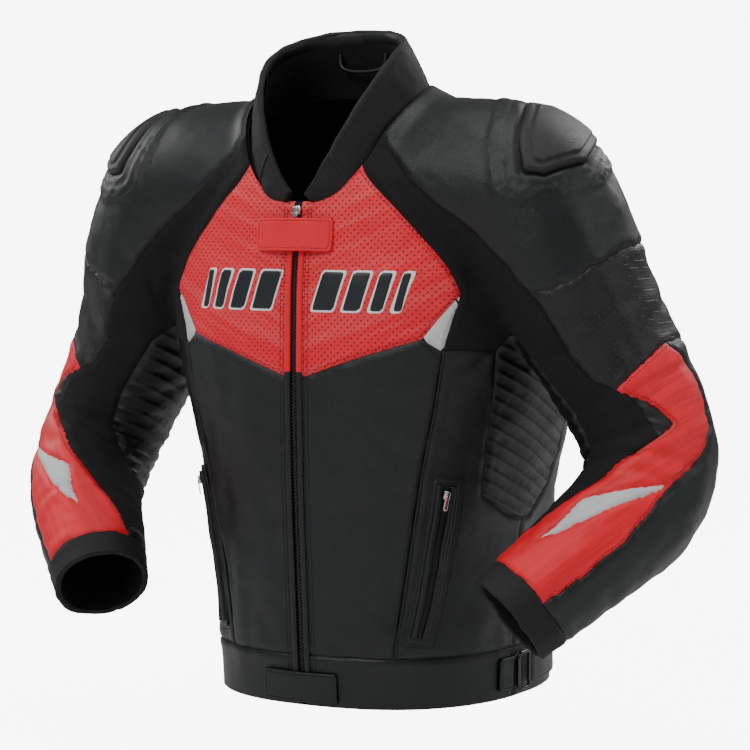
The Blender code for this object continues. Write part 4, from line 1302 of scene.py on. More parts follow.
def side_stretch(skin):
    """Ribbed stretch: narrow padded ribs that slope down towards the front."""
    y, z = skin.points[:, 1], skin.points[:, 2]
    phase = (z + 0.42 * y) * 2 * np.pi / 0.0125
    skin.fields["rib"] = phase
    edge = np.clip(skin.fields["seam"] / 0.006, 0, 1)
    n = np.stack([skin.fields[k] for k in ("nx", "ny", "nz")], axis=1)
    skin.points = skin.points + n * (
        sizes().rib_height * edge * (np.abs(np.cos(phase / 2)) ** 0.7 - 0.6)
    )[:, None]
    panel_pair("side_stretch", skin, "ribbed_fabric", ["side_stretch"], None)


def sewn_threads():
    """All topstitching, one piece for each part of the garment that moves alone."""
    for (zone, side), parts in THREADS.items():
        points, faces = joined_arrays(parts)
        word = "left" if side > 0 else "right"
        made = new_piece("topstitching_" + zone + "_" + word, points, faces, "thread")
        attach(made, "low" if zone == "low" else None, side)


# ---------------------------------------------------------------- lining and rims

LINING_DEPTH = 0.0062


def build_lining(skin):
    """Lining inside the body and the sleeves, and the turned edges at the hem and the cuffs."""
    hems, ends = level_lines(skin, "hem", 0.0), level_lines(skin, "end", 0.0)
    n = np.stack([skin.fields[k] for k in ("nx", "ny", "nz")], axis=1)
    n /= np.linalg.norm(n, axis=1)[:, None]
    along = sleeve_frames(6)[3][-1]
    for side, word in SIDES:
        moved, _ = shaped(skin, side, FOLD_SEEDS[side])
        inner = (skin.points - n * LINING_DEPTH) * (side, 1, 1)
        for runs, way, name, zone in (
            (hems, (0, 0, -1.0), "hem_edge_", None), (ends, along * (side, 1, 1), "cuff_edge_", "low")
        ):
            run = max(runs, key=len)
            way = np.array(way, float)
            rows = []
            for share in np.linspace(0, 1, 7):
                bulge = math.sin(share * math.pi) * 0.0016
                rows.append(moved[run] * (1 - share) + inner[run] * share + way * bulge)
            points = np.concatenate(rows)
            count = len(run)
            faces = []
            for r in range(6):
                for i in range(count - 1):
                    a = r * count + i
                    faces += [(a, a + 1, a + count + 1), (a, a + count + 1, a + count)]
            made = new_piece(name + word, points, faces, "black_leather" if zone is None else "neoprene")
            attach(made, zone, side)
    skin.points = skin.points - n * LINING_DEPTH
    skin.faces = skin.faces[:, ::-1]
    low, high = divide(skin, "low_arm")
    skin_x = high.points[:, 0] - 0.199
    high.fields["inside"] = skin_x
    arm, body = divide(high, "inside")
    for side, word in SIDES:
        for part, name, zone in ((low, "sleeve_liner_", "low"), (arm, "armhole_liner_", None)):
            faces = part.faces if side > 0 else part.faces[:, ::-1]
            made = new_piece(name + word, part.points * (side, 1, 1), faces, "lining")
            attach(made, zone, side)
            if zone:
                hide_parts("sleeve_liner_" + word)
    points, faces = joined_arrays(
        [(body.points, body.faces), (body.points * (-1, 1, 1), body.faces[:, ::-1])]
    )
    points, faces = welded(points, faces)
    made = new_piece("torso_liner", points, faces, "lining")
    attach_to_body(made, "jacket_body")
    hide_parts("torso_liner")


# ---------------------------------------------------------------- things that lie on the surface

TREES = {}


def surface_tree():
    if "all" not in TREES:
        points, faces = joined_arrays(SURFACES)
        TREES["all"] = BVHTree.FromPolygons(
            [tuple(p) for p in points], [tuple(int(i) for i in f) for f in faces]
        )
    return TREES["all"]


def cast(start, way, fallback):
    hit, normal, _, _ = surface_tree().ray_cast(Vector(start), Vector(way), 0.6)
    return np.array(hit) if hit is not None else np.array(fallback)


def front_place(flat, height):
    """Points given by x and z laid on the front, standing off by a height."""
    flat = np.asarray(flat, float)
    x, z = flat[:, 0], flat[:, 1]
    step = 0.004
    slope_x = (front_y(x + step, z) - front_y(x - step, z)) / (2 * step)
    slope_z = (front_y(x, z + step) - front_y(x, z - step)) / (2 * step)
    n = np.stack([slope_x, -np.ones_like(x), slope_z], axis=1)
    n /= np.linalg.norm(n, axis=1)[:, None]
    base = np.array([cast((a, -0.4, b), (0, 1, 0), (a, front_y(a, b), b)) for a, b in flat])
    return base + n * np.asarray(height)[:, None], n


def smooth_front(flat, height):
    """As front_place, on the even form under the folds."""
    flat = np.asarray(flat, float)
    x, z = flat[:, 0], flat[:, 1]
    step = 0.004
    slope_x = (front_y(x + step, z) - front_y(x - step, z)) / (2 * step)
    slope_z = (front_y(x, z + step) - front_y(x, z - step)) / (2 * step)
    n = np.stack([slope_x, -np.ones_like(x), slope_z], axis=1)
    n /= np.linalg.norm(n, axis=1)[:, None]
    return np.stack([x, front_y(x, z), z], axis=1) + n * np.asarray(height)[:, None], n


def side_place(flat, height):
    """Points given by y and z laid on the wearer's left side."""
    flat = np.asarray(flat, float)
    base = np.array([cast((0.5, a, b), (-1, 0, 0), (0.155, a, b)) for a, b in flat])
    half, front, back, power = torso_at(0.025)
    depth, middle = (back - front) / 2, (back + front) / 2
    away = (flat[:, 0] - middle) / depth
    slope = np.sign(away) * np.abs(away) ** (power - 1) / depth
    x_part = np.abs(np.clip(1 - np.abs(away) ** power, 0.01, 1)) ** ((power - 1) / power) / half
    n = np.stack([x_part, slope, np.zeros(len(flat))], axis=1)
    n /= np.linalg.norm(n, axis=1)[:, None]
    return base + n * np.asarray(height)[:, None], n


def grid_skin(outline, cell):
    """Flat even triangles over an outline."""
    outline = np.array(outline, float)
    low, high = outline.min(0) - cell, outline.max(0) + cell
    count = np.maximum(2, np.ceil((high - low) / cell).astype(int) + 1)
    u, v = np.meshgrid(
        np.linspace(low[0], high[0], count[0]), np.linspace(low[1], high[1], count[1]), indexing="ij"
    )
    points = np.stack([u.ravel(), v.ravel(), np.zeros(u.size)], axis=1)
    faces = []
    for i in range(count[0] - 1):
        for j in range(count[1] - 1):
            a = i * count[1] + j
            b, c, d = a + 1, a + count[1], a + count[1] + 1
            faces += [(a, c, d), (a, d, b)]
    skin = Skin(points, np.array(faces), {"in": signed_distance(outline, points[:, :2])})
    skin.split("in", 0.0)
    return skin.part("in", True)


def rounded(outline, radius, steps=5):
    """The outline with its corners rounded off."""
    points = [np.array(p, float) for p in outline]
    out = []
    for i, b in enumerate(points):
        a, c = points[i - 1], points[(i + 1) % len(points)]
        before, after = (a - b) / np.linalg.norm(a - b), (c - b) / np.linalg.norm(c - b)
        r = min(radius, 0.45 * np.linalg.norm(a - b), 0.45 * np.linalg.norm(c - b))
        for t in np.linspace(0, 1, steps):
            out.append((b + before * r) * (1 - t) ** 2 + 2 * b * t * (1 - t) + (b + after * r) * t**2)
    return out


def plate(outline, place, thick, cell=0.003, edge=0.0012, lift=None, closed=True, groove=None):
    """A thin rounded plate over an outline, laid on a surface. Returns points and faces."""
    skin = grid_skin(outline, cell)
    for level in (edge * 0.35, edge):
        skin.split("in", level)
    if groove:
        for level in (groove - 0.0006, groove, groove + 0.0006):
            skin.split("in", level)
    d = skin.fields["in"]
    share = np.clip(d / edge, 0, 1)
    top = thick * np.sqrt(np.maximum(0, 1 - (1 - share) ** 2))
    if groove:
        top = top - 0.0004 * bump_at(d, groove, 0.0005)
    stand = np.zeros(len(d)) if lift is None else lift(skin.points[:, :2])
    upper, _ = place(skin.points[:, :2], stand + top)
    faces = skin.faces
    if not closed:
        return oriented(upper, faces, place, skin)
    lower, _ = place(skin.points[:, :2], stand)
    count = len(upper)
    points = np.concatenate([upper, lower])
    upper_faces = oriented(upper, faces, place, skin)[1]
    return welded(points, np.concatenate([upper_faces, upper_faces[:, ::-1] + count]))


def oriented(points, faces, place, skin):
    _, n = place(skin.points[:1, :2], np.zeros(1))
    corner = points[faces]
    face = np.cross(corner[:, 1] - corner[:, 0], corner[:, 2] - corner[:, 0]).sum(0)
    return points, faces if face @ n[0] > 0 else faces[:, ::-1]


def piece_of(name, arrays, material, body, replaced=()):
    made = new_piece(name, arrays[0], arrays[1], material)
    if body == "auto":
        attach(made, None, 1 if arrays[0][:, 0].mean() > 0 else -1)
    else:
        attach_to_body(made, body)
    if replaced:
        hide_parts(*replaced)
    return made


def sewn_line(flat, place, height, body_key, pitch=0.0033, **sizes):
    """Stitches along a polyline drawn in a surface's own flat coordinates."""
    line = np.asarray(flat, float)
    step = np.linalg.norm(np.diff(line, axis=0), axis=1)
    along = np.concatenate([[0], np.cumsum(step)])
    at = np.linspace(0, along[-1], max(2, int(along[-1] / 0.004)))
    line = np.stack([np.interp(at, along, line[:, i]) for i in range(2)], axis=1)
    points, n = place(line, np.full(len(line), height))
    places = even_spacing(points, n, pitch)
    if places is not None:
        LOOSE_THREADS.setdefault(body_key, []).append(stitches(places, **sizes))


def averaged(line):
    """Each point of a line averaged with the two on either side."""
    padded = [np.pad(line[:, i], 2, mode="edge") for i in range(3)]
    return np.stack([np.convolve(column, np.ones(5) / 5, mode="valid") for column in padded], axis=1)


def mirrored_arrays(arrays):
    return arrays[0] * (-1, 1, 1), arrays[1][:, ::-1]


def swept(path, section, ups, closed=False):
    """A tube with a given section along a path, as points and faces."""
    path = np.asarray(path, float)
    way = np.gradient(path, axis=0)
    if closed:
        way = np.roll(path, -1, axis=0) - np.roll(path, 1, axis=0)
    way /= np.linalg.norm(way, axis=1)[:, None]
    ups = np.broadcast_to(np.asarray(ups, float), path.shape).copy()
    across = np.cross(way, ups)
    across /= np.linalg.norm(across, axis=1)[:, None]
    ups = np.cross(across, way)
    section = np.asarray(section, float)
    sideways = section[None, :, 0, None] * across[:, None]
    upwards = section[None, :, 1, None] * ups[:, None]
    rings = path[:, None] + sideways + upwards
    rows, count = len(path), len(section)
    points = rings.reshape(-1, 3)
    faces = []
    for r in range(rows if closed else rows - 1):
        for i in range(count):
            j = (i + 1) % count
            a, b = r * count + i, r * count + j
            c, d = ((r + 1) % rows) * count + i, ((r + 1) % rows) * count + j
            faces += [(a, b, d), (a, d, c)]
    if not closed:
        for i in range(1, count - 1):
            faces += [(0, i + 1, i), ((rows - 1) * count, (rows - 1) * count + i, (rows - 1) * count + i + 1)]
    return points, np.array(faces)[:, ::-1]


def round_section(radius, flat=1.0, count=10):
    a = np.arange(count) / count * 2 * np.pi
    return np.stack([np.cos(a) * radius, np.sin(a) * radius * flat], axis=1)


def block(centre, x_way, y_way, z_way, size):
    """A small bevelled block as arrays."""
    shape, faces = BLOCK
    s = shape * 0.5
    corners = centre + (s[:, :1] * size[0]) * x_way + (s[:, 1:2] * size[1]) * y_way + (s[:, 2:] * size[2]) * z_way
    return corners, faces


def block_shape(b=0.72):
    """Cube with cut edges: three rings of corner points."""
    points = []
    for z in (-1, 1):
        for x, y in ((-b, -1), (b, -1), (1, -b), (1, b), (b, 1), (-b, 1), (-1, b), (-1, -b)):
            points.append((x, y, z * b))
    for z in (-1, 1):
        for x, y in ((-b, -b), (b, -b), (b, b), (-b, b)):
            points.append((x, y, z))
    faces = []
    for i in range(8):
        j = (i + 1) % 8
        faces += [(i, j, 8 + j), (i, 8 + j, 8 + i)]
    for base, ring, flip in ((0, 16, True), (8, 20, False)):
        made = [(ring, ring + 1, ring + 2), (ring, ring + 2, ring + 3)]
        for k, (p, q) in enumerate(((7, 0), (1, 2), (3, 4), (5, 6))):
            made.append((base + p, base + q, ring + k))
            nxt = (k + 1) % 4
            made += [(base + q, base + (q + 1) % 8, ring + nxt), (base + q, ring + nxt, ring + k)]
        faces += [f[::-1] for f in made] if flip else made
    return np.array(points, float), np.array(faces)


BLOCK = block_shape()


# ---------------------------------------------------------------- collar


def full_ring(half):
    return np.concatenate([half, (half * (-1, 1, 1))[::-1][1:]])


def collar_sheet():
    seam, rim = full_ring(smooth_line(NECK_SEAM, 8)), full_ring(smooth_line(COLLAR_RIM, 8))
    around = np.gradient(seam + rim, axis=0)
    up = rim - seam
    n = np.cross(around, up)
    n /= np.linalg.norm(n, axis=1)[:, None]
    centre = (seam + rim).mean(0) / 2
    if ((seam + rim) / 2 - centre)[40] @ n[40] < 0:
        n = -n
    return seam, rim, n


def build_collar():
    """Padded collar with a rolled rim, a lining inside and stitching round it."""
    seam, rim, n = collar_sheet()
    rows = []
    shares = np.linspace(-0.10, 0.955, 12)
    for u in shares:
        rows.append(seam + (rim - seam) * u + n * (0.0006 + 0.0016 * math.sin(math.pi * min(1, max(0, u)))))
    for t in np.linspace(0.15, 0.85, 6):
        a = t * math.pi
        rows.append(
            seam + (rim - seam) * (0.955 + 0.045 * math.sin(a)) + n * (-0.0026 + 0.0032 * math.cos(a))
        )
    for u in shares[::-1]:
        rows.append(seam + (rim - seam) * u - n * 0.0058)
    sections = np.array(rows).transpose(1, 0, 2)
    points, faces = lofted(sections)
    work = face_out(raw_object("collar_work", points, faces))
    points, faces = applied(work)
    noise_move = 0.0005 * ripple(points, 0.030, 5) + 0.0003 * ripple(points, 0.012, 6)
    points = points + vertex_normals(points, faces) * noise_move[:, None]
    piece_of("collar_shell", (points, faces), "neoprene", "jacket_body", ["collar_shell"])
    inner = []
    for u in np.linspace(0.90, -0.35, 14):
        inner.append(seam + (rim - seam) * u - n * (0.0066 + 0.0012 * math.sin(max(0, u) * math.pi)))
    inner = np.array(inner)
    count = inner.shape[1]
    made = []
    for r in range(inner.shape[0] - 1):
        for i in range(count - 1):
            a = r * count + i
            made += [(a, a + 1, a + count + 1), (a, a + count + 1, a + count)]
    piece_of(
        "collar_lining", (inner.reshape(-1, 3), np.array(made)), "lining", "jacket_body",
        ["collar_lining"]
    )
    for u, off in ((0.90, 0.0016), (0.06, 0.0012)):
        line = seam + (rim - seam) * u + n * off
        places = even_spacing(line[2:-2], n[2:-2], 0.0034)
        LOOSE_THREADS.setdefault("jacket_body", []).append(stitches(places))
    for side in (1, -1):
        index = 11 if side > 0 else len(seam) - 12
        us = np.linspace(0.0, 0.93, 12)
        line = np.array([seam[index] + (rim[index] - seam[index]) * u + n[index] * (0.0008 + 0.0016 * math.sin(math.pi * u)) for u in us])
        piece_of(
            "collar_seam_" + ("left" if side > 0 else "right"),
            swept(line, round_section(0.0011, 0.6, 8), n[index]), "black_leather", "jacket_body"
        )
    back = len(seam) // 2
    band = []
    for i in range(back - 30, back + 31):
        band.append(i)
    strip = []
    for u in (0.97, 0.92, 0.80, 0.68, 0.66):
        off = 0.0074 if u in (0.92, 0.80, 0.68) else 0.0056
        strip.append(seam[band] + (rim[band] - seam[band]) * u - n[band] * off)
    strip = np.array(strip)
    count = strip.shape[1]
    made = []
    for r in range(4):
        for i in range(count - 1):
            a = r * count + i
            made += [(a, a + 1, a + count + 1), (a, a + count + 1, a + count)]
    piece_of(
        "collar_inner_band", (strip.reshape(-1, 3), np.array(made)), "black_leather", "jacket_body",
    )


# ---------------------------------------------------------------- front closing, tabs and prints

GARAGE_LIFT = (
    (-0.044, 0.0010), (-0.034, 0.0038), (-0.020, 0.0068), (-0.008, 0.0078), (0.008, 0.0078),
    (0.020, 0.0066), (0.034, 0.0030), (0.040, 0.0012)
)
HEM_LIFT = (
    (-0.044, 0.0012), (-0.028, 0.0020), (-0.012, 0.0028), (0.012, 0.0028), (0.024, 0.0020), (0.038, 0.0012)
)


def stand_off(table):
    table = np.array(table)
    return lambda flat: np.interp(flat[:, 0], table[:, 0], table[:, 1])


def build_zip():
    """Tape, teeth and the folded leather edges beside them."""
    heights = np.linspace(0.004, 0.484, 60)
    middle = np.stack([np.zeros(60), front_y(np.zeros(60), heights), heights], axis=1)
    tape = swept(
        middle + (0, 0.0022, 0),
        [(-0.0075, -0.0004), (0.0075, -0.0004), (0.0075, 0.0004), (-0.0075, 0.0004)], (0, -1, 0)
    )
    piece_of("main_zip_tape", tape, "zip_tape", "jacket_body")
    parts = []
    x_way, z_way = np.array((1.0, 0, 0)), np.array((0, 0, 1.0))
    y_way = np.array((0, 1.0, 0))
    for i, z in enumerate(np.arange(0.006, 0.482, 0.00165)):
        y = float(front_y(0.0, z)) + 0.0006
        parts.append(
            block(np.array((0.0008 * (-1) ** i, y, z)), x_way, y_way, z_way, (0.0042, 0.0021, 0.00125))
        )
    piece_of("main_zip", joined_arrays(parts), "zip_teeth", "jacket_body", ["main_zip"])
    for side, word in SIDES:
        line = []
        for z in np.linspace(0.006, 0.486, 110):
            hit = cast((0.0058 * side, -0.4, z), (0, 1, 0), (0.0058 * side, front_y(0.0058, z), z))
            line.append(hit + np.array((0, -0.0003, 0)))
        line = np.array(line)
        line[:, 1] = np.convolve(np.pad(line[:, 1], 4, mode="edge"), np.ones(9) / 9, mode="valid")
        edge = swept(line + (0.0006 * side, 0, 0), round_section(0.0034, 0.62, 12), (0, -1, 0))
        red = edge[0][:, 2] > 0.3205
        lower = edge[1][~red[edge[1]].all(axis=1)]
        upper = edge[1][red[edge[1]].all(axis=1)]
        piece_of(
            "placket_edge_" + word, tidy((edge[0], lower)), "black_leather", "jacket_body"
        )
        piece_of("placket_top_" + word, tidy((edge[0], upper)), "red_plain", "jacket_body")
        for x in (0.0115, 0.0150):
            sewn_line([(x * side, 0.008), (x * side, 0.478)], front_place, 0.0002, "jacket_body")


def tidy(arrays):
    keep, index = np.unique(arrays[1], return_inverse=True)
    return arrays[0][keep], index.reshape(-1, 3)


def build_sliders():
    """Main slider and its pull."""
    fall = np.array((0.0, -0.105, -1.0))
    fall /= np.linalg.norm(fall)
    up, out = -fall, np.array((0.0, -1.0, 0.105))
    out /= np.linalg.norm(out)
    across = np.cross(out, up)
    at = np.array((0.0, float(front_y(0.0, 0.4755)), 0.4755))
    parts = [
        block(at + out * 0.0026, across, up, out, (0.0084, 0.0090, 0.0026)),
        block(at + out * 0.0043 + up * 0.001, across, up, out, (0.0030, 0.0064, 0.0016))
    ]
    piece_of(
        "main_zip_slider", joined_arrays(parts), "zip_metal", "main_zip_slider_body",
        ["main_zip_slider"]
    )
    place = at + up * 0.0030 + out * 0.0056
    pull = [block(place - up * 0.0040, across, up, out, (0.0046, 0.0095, 0.0010))]
    pull.append(block(place - up * 0.0072, across, up, out, (0.0062, 0.0050, 0.0012)))
    piece_of(
        "main_zip_puller", joined_arrays(pull), "zip_metal", "main_zip_puller_body",
        ["main_zip_puller"]
    )


def build_tabs():
    """Red tab over the top of the zip and the leather tab at the hem."""
    garage = rounded([(-0.0437, 0.4364), (0.0400, 0.4364), (0.0400, 0.4682), (-0.0437, 0.4682)], 0.0045)
    lift = stand_off(GARAGE_LIFT)
    tab = plate(garage, smooth_front, 0.0022, 0.0022, 0.0010, lift, groove=0.0028)
    piece_of("garage_tab", tab, "red_plain", "garage_tab_body", ["garage_tab"])
    inner = rounded([(-0.0409, 0.4392), (0.0372, 0.4392), (0.0372, 0.4654), (-0.0409, 0.4654)], 0.003)
    raised = lambda flat, height: smooth_front(flat, lift(np.asarray(flat)) + 0.0019 + np.asarray(height))
    sewn_line(inner + inner[:1], raised, 0.0, "garage_tab_body")
    for x in (0.0255, 0.0285):
        sewn_line([(x, 0.4385), (x, 0.4660)], raised, 0.0, "garage_tab_body")
    mark = rounded([(-0.0372, 0.4455), (-0.0352, 0.4455), (-0.0352, 0.4590), (-0.0372, 0.4590)], 0.0008)
    piece_of(
        "garage_tab_mark", plate(mark, raised, 0.0006, 0.0012, 0.0005), "red_plain", "garage_tab_body",
    )
    hem = rounded([(-0.0432, 0.0040), (0.0380, 0.0040), (0.0380, 0.0342), (-0.0432, 0.0342)], 0.003)
    low_lift = stand_off(HEM_LIFT)
    tab = plate(hem, smooth_front, 0.0026, 0.0024, 0.0011, low_lift, groove=0.0030)
    piece_of("hem_tab", tab, "black_leather", "hem_tab_body", ["hem_tab"])
    raised = lambda flat, height: smooth_front(flat, low_lift(np.asarray(flat)) + 0.0023 + np.asarray(height))
    frame_line = [(-0.0402, 0.0070), (0.0350, 0.0070), (0.0350, 0.0312), (-0.0402, 0.0312), (-0.0402, 0.0070)]
    for line in (
        frame_line, [(0.0130, 0.0070), (0.0130, 0.0312)], [(0.0130, 0.0070), (0.0350, 0.0312)],
        [(0.0130, 0.0312), (0.0350, 0.0070)]
    ):
        sewn_line(line, raised, 0.0, "hem_tab_body")


BARS = ((0.021, 0.026), (0.053, 0.021), (0.080, 0.016), (0.102, 0.011))


def build_prints():
    """Slanted bars across the chest, each dark with a pale edge."""
    for side, word in SIDES:
        white, grey = [], []
        for start, width in BARS:
            low, high = 0.3800, 0.4200
            shape = []
            for x, z in ((start, low), (start + width, low), (start + width, high), (start, high)):
                shape.append((side * x + 0.34 * (z - low) - 0.004, z))
            if side < 0:
                shape = shape[::-1]
            middle = np.mean(shape, axis=0)
            white.append(plate(rounded(shape, 0.0025), front_place, 0.00035, 0.0035, 0.0004, closed=False))
            shrink = (1 - 0.0036 / width, 1 - 0.0036 / (high - low))
            small = [tuple(middle + (np.array(p) - middle) * shrink) for p in shape]
            grey.append(plate(rounded(small, 0.0016), front_place, 0.00065, 0.0035, 0.0004, closed=False))
        piece_of("chest_bars_edge_" + word, joined_arrays(white), "print_white", "jacket_body")
        piece_of("chest_bars_" + word, joined_arrays(grey), "print_grey", "jacket_body")


def build_pockets():
    """Slanted pocket openings with rolled lips, a zip between them and a slider at the top."""
    top, bottom = np.array((0.137, 0.217)), np.array((0.110, 0.070))
    way = (top - bottom) / np.linalg.norm(top - bottom)
    side_way = np.array((way[1], -way[0]))
    middle, length = (top + bottom) / 2, float(np.linalg.norm(top - bottom))
    flat_of = lambda u, v: tuple(middle + way * u + side_way * v)
    ends = length / 2 + 0.006
    outer = rounded(
        [flat_of(-ends, -0.0085), flat_of(ends, -0.0085), flat_of(ends, 0.0085), flat_of(-ends, 0.0085)],
        0.003
    )
    base = plate(outer, front_place, 0.0012, 0.0040, 0.0012, closed=False)
    us = np.linspace(-ends + 0.004, ends - 0.004, 50)
    lips, teeth = [], []
    for v in (-0.0043, 0.0043):
        line, n = front_place([flat_of(u, v) for u in us], np.full(len(us), 0.0016))
        line = averaged(line)
        lips.append(swept(line, round_section(0.0031, 0.85, 12), n))
    tooth_at = np.arange(-length / 2, length / 2, 0.0018)
    line, n = front_place([flat_of(u, 0.0) for u in tooth_at], np.full(len(tooth_at), 0.0022))
    for i, (p, up) in enumerate(zip(line, n)):
        along = np.array((way[0], 0, way[1]))
        along = along - up * (along @ up)
        along /= np.linalg.norm(along)
        teeth.append(block(p, np.cross(along, up), along, up, (0.0032, 0.0013, 0.0016)))
    seat, n = front_place([flat_of(length / 2 - 0.008, 0.0)], np.full(1, 0.0062))
    along = np.array((way[0], 0, way[1]))
    along = along - n[0] * (along @ n[0])
    along /= np.linalg.norm(along)
    across = np.cross(along, n[0])
    slider = [
        block(seat[0] - n[0] * 0.0010, across, along, n[0], (0.0064, 0.0084, 0.0030)),
        block(seat[0] + n[0] * 0.0009 - along * 0.0075, across, along, n[0], (0.0042, 0.0150, 0.0011))
    ]
    for side, word in SIDES:
        turn = (lambda a: a) if side > 0 else mirrored_arrays
        piece_of(
            "pocket_welt_" + word, turn(joined_arrays([base, *lips])), "black_leather", "jacket_body",
        )
        piece_of(
            "pocket_zip_" + word, turn(joined_arrays(teeth)), "zip_teeth", "jacket_body",
            ["pocket_zip_" + word]
        )
        piece_of(
            "pocket_slider_" + word, turn(joined_arrays(slider)), "zip_metal",
            "pocket_slider_" + word + "_body", ["pocket_slider_" + word]
        )
        box = [
            flat_of(-ends - 0.003, -0.0115), flat_of(ends + 0.003, -0.0115), flat_of(ends + 0.003, 0.0115),
            flat_of(-ends - 0.003, 0.0115), flat_of(-ends - 0.003, -0.0115)
        ]
        sewn_line([(x * side, z) for x, z in box], front_place, 0.0002, "jacket_body")


def build_piping():
    """Raised piping down the seam between the front and the pocket panel."""
    edge = smooth_line(
        [(0.1435, 0.344), (0.134, 0.290), (0.119, 0.222), (0.103, 0.130), (0.092, 0.060), (0.0905, 0.050)],
        14
    )
    for side, word in SIDES:
        line, n = front_place([(x * side, z) for x, z in edge], np.full(len(edge), 0.0004))
        line = averaged(line)
        piece_of(
            "front_piping_" + word, swept(line, round_section(0.0013, 0.9, 10), n), "black_leather",
            "jacket_body"
        )


def build_waist():
    """Straps, rings and the leather loops that hold them, beside the hem."""
    strap = rounded([(0.030, 0.010), (0.110, 0.010), (0.110, 0.040), (0.030, 0.040)], 0.005)
    lift = lambda flat: np.full(len(flat), 0.0012)
    band = plate(strap, side_place, 0.0026, 0.0030, 0.0011, lift, groove=0.0030)
    loop = plate(
        rounded([(-0.030, 0.009), (0.0045, 0.009), (0.0045, 0.041), (-0.030, 0.041)], 0.003), side_place,
        0.0024, 0.0028, 0.0011, lift, groove=0.0028
    )
    corners = rounded([(0.000, 0.007), (0.022, 0.007), (0.022, 0.043), (0.000, 0.043)], 0.006, 6)
    line, n = side_place(corners, np.full(len(corners), 0.0046))
    ring = swept(line, round_section(0.0018, 1.0, 10), n, closed=True)
    for side, word in SIDES:
        turn = (lambda a: a) if side > 0 else mirrored_arrays
        piece_of(
            "waist_strap_" + word, turn(band), "black_leather", "waist_strap_" + word + "_body",
            ["waist_strap_" + word]
        )
        piece_of("waist_loop_" + word, turn(loop), "black_leather", "jacket_body")
        piece_of(
            "waist_ring_" + word, turn(ring), "ring_steel", "waist_ring_" + word + "_body",
            ["waist_ring_" + word]
        )


def build_cups():
    """Hard shoulder cups with a stepped face, standing on the padded ring of the shoulder."""
    skin = SKIN["cup"].copy()
    for level in (0.0, 0.0010, 0.0026, 0.0050, 0.0095, 0.0110, 0.0135):
        skin.split("cup", level)
    skin = skin.part("cup", True)
    d = skin.fields["cup"]
    height = -0.0006 + sizes().cup_height * np.sqrt(np.clip(1 - (1 - np.clip(d / 0.0050, 0, 1)) ** 2, 0, 1))
    height += 0.0016 * np.clip((d - 0.0095) / 0.0015, 0, 1) - 0.0007 * bump_at(d, 0.0088, 0.0010)
    n = np.stack([skin.fields[k] for k in ("nx", "ny", "nz")], axis=1)
    points = skin.points + n * height[:, None]
    for side, word in SIDES:
        faces = skin.faces if side > 0 else skin.faces[:, ::-1]
        made = new_piece("shoulder_cup_" + word, points * (side, 1, 1), faces, "cup_satin")
        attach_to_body(made, "sleeve_" + word)
        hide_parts("shoulder_cup_" + word)


def build_inside():
    """Hanging loop at the nape. The pads inside the sleeves and the back stay as they are."""
    y = LOOP[1]
    line = smooth_line(
        [
            (-0.026, y + 0.002, 0.628), (-0.024, y + 0.001, 0.616), (-0.012, y, 0.611), (0.012, y, 0.611),
            (0.024, y + 0.001, 0.616), (0.026, y + 0.002, 0.628)
        ],
        8
    )
    piece_of(
        "hanging_loop", swept(line, round_section(0.0018, 1.0, 8), (0, -1, 0.2)), "black_leather",
        "jacket_body", ["hanging_loop"]
    )


def loose_threads():
    for body, parts in LOOSE_THREADS.items():
        red = body == "garage_tab_body"
        made = new_piece("topstitching_" + body, *joined_arrays(parts), "thread_red" if red else "thread")
        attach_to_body(made, body)

# ---------------------------------------------------------------- stage

CAMERA_AT = (1.3466, -2.3324, 0.5016)
CAMERA_TO = (0.0, 0.0, 0.31)


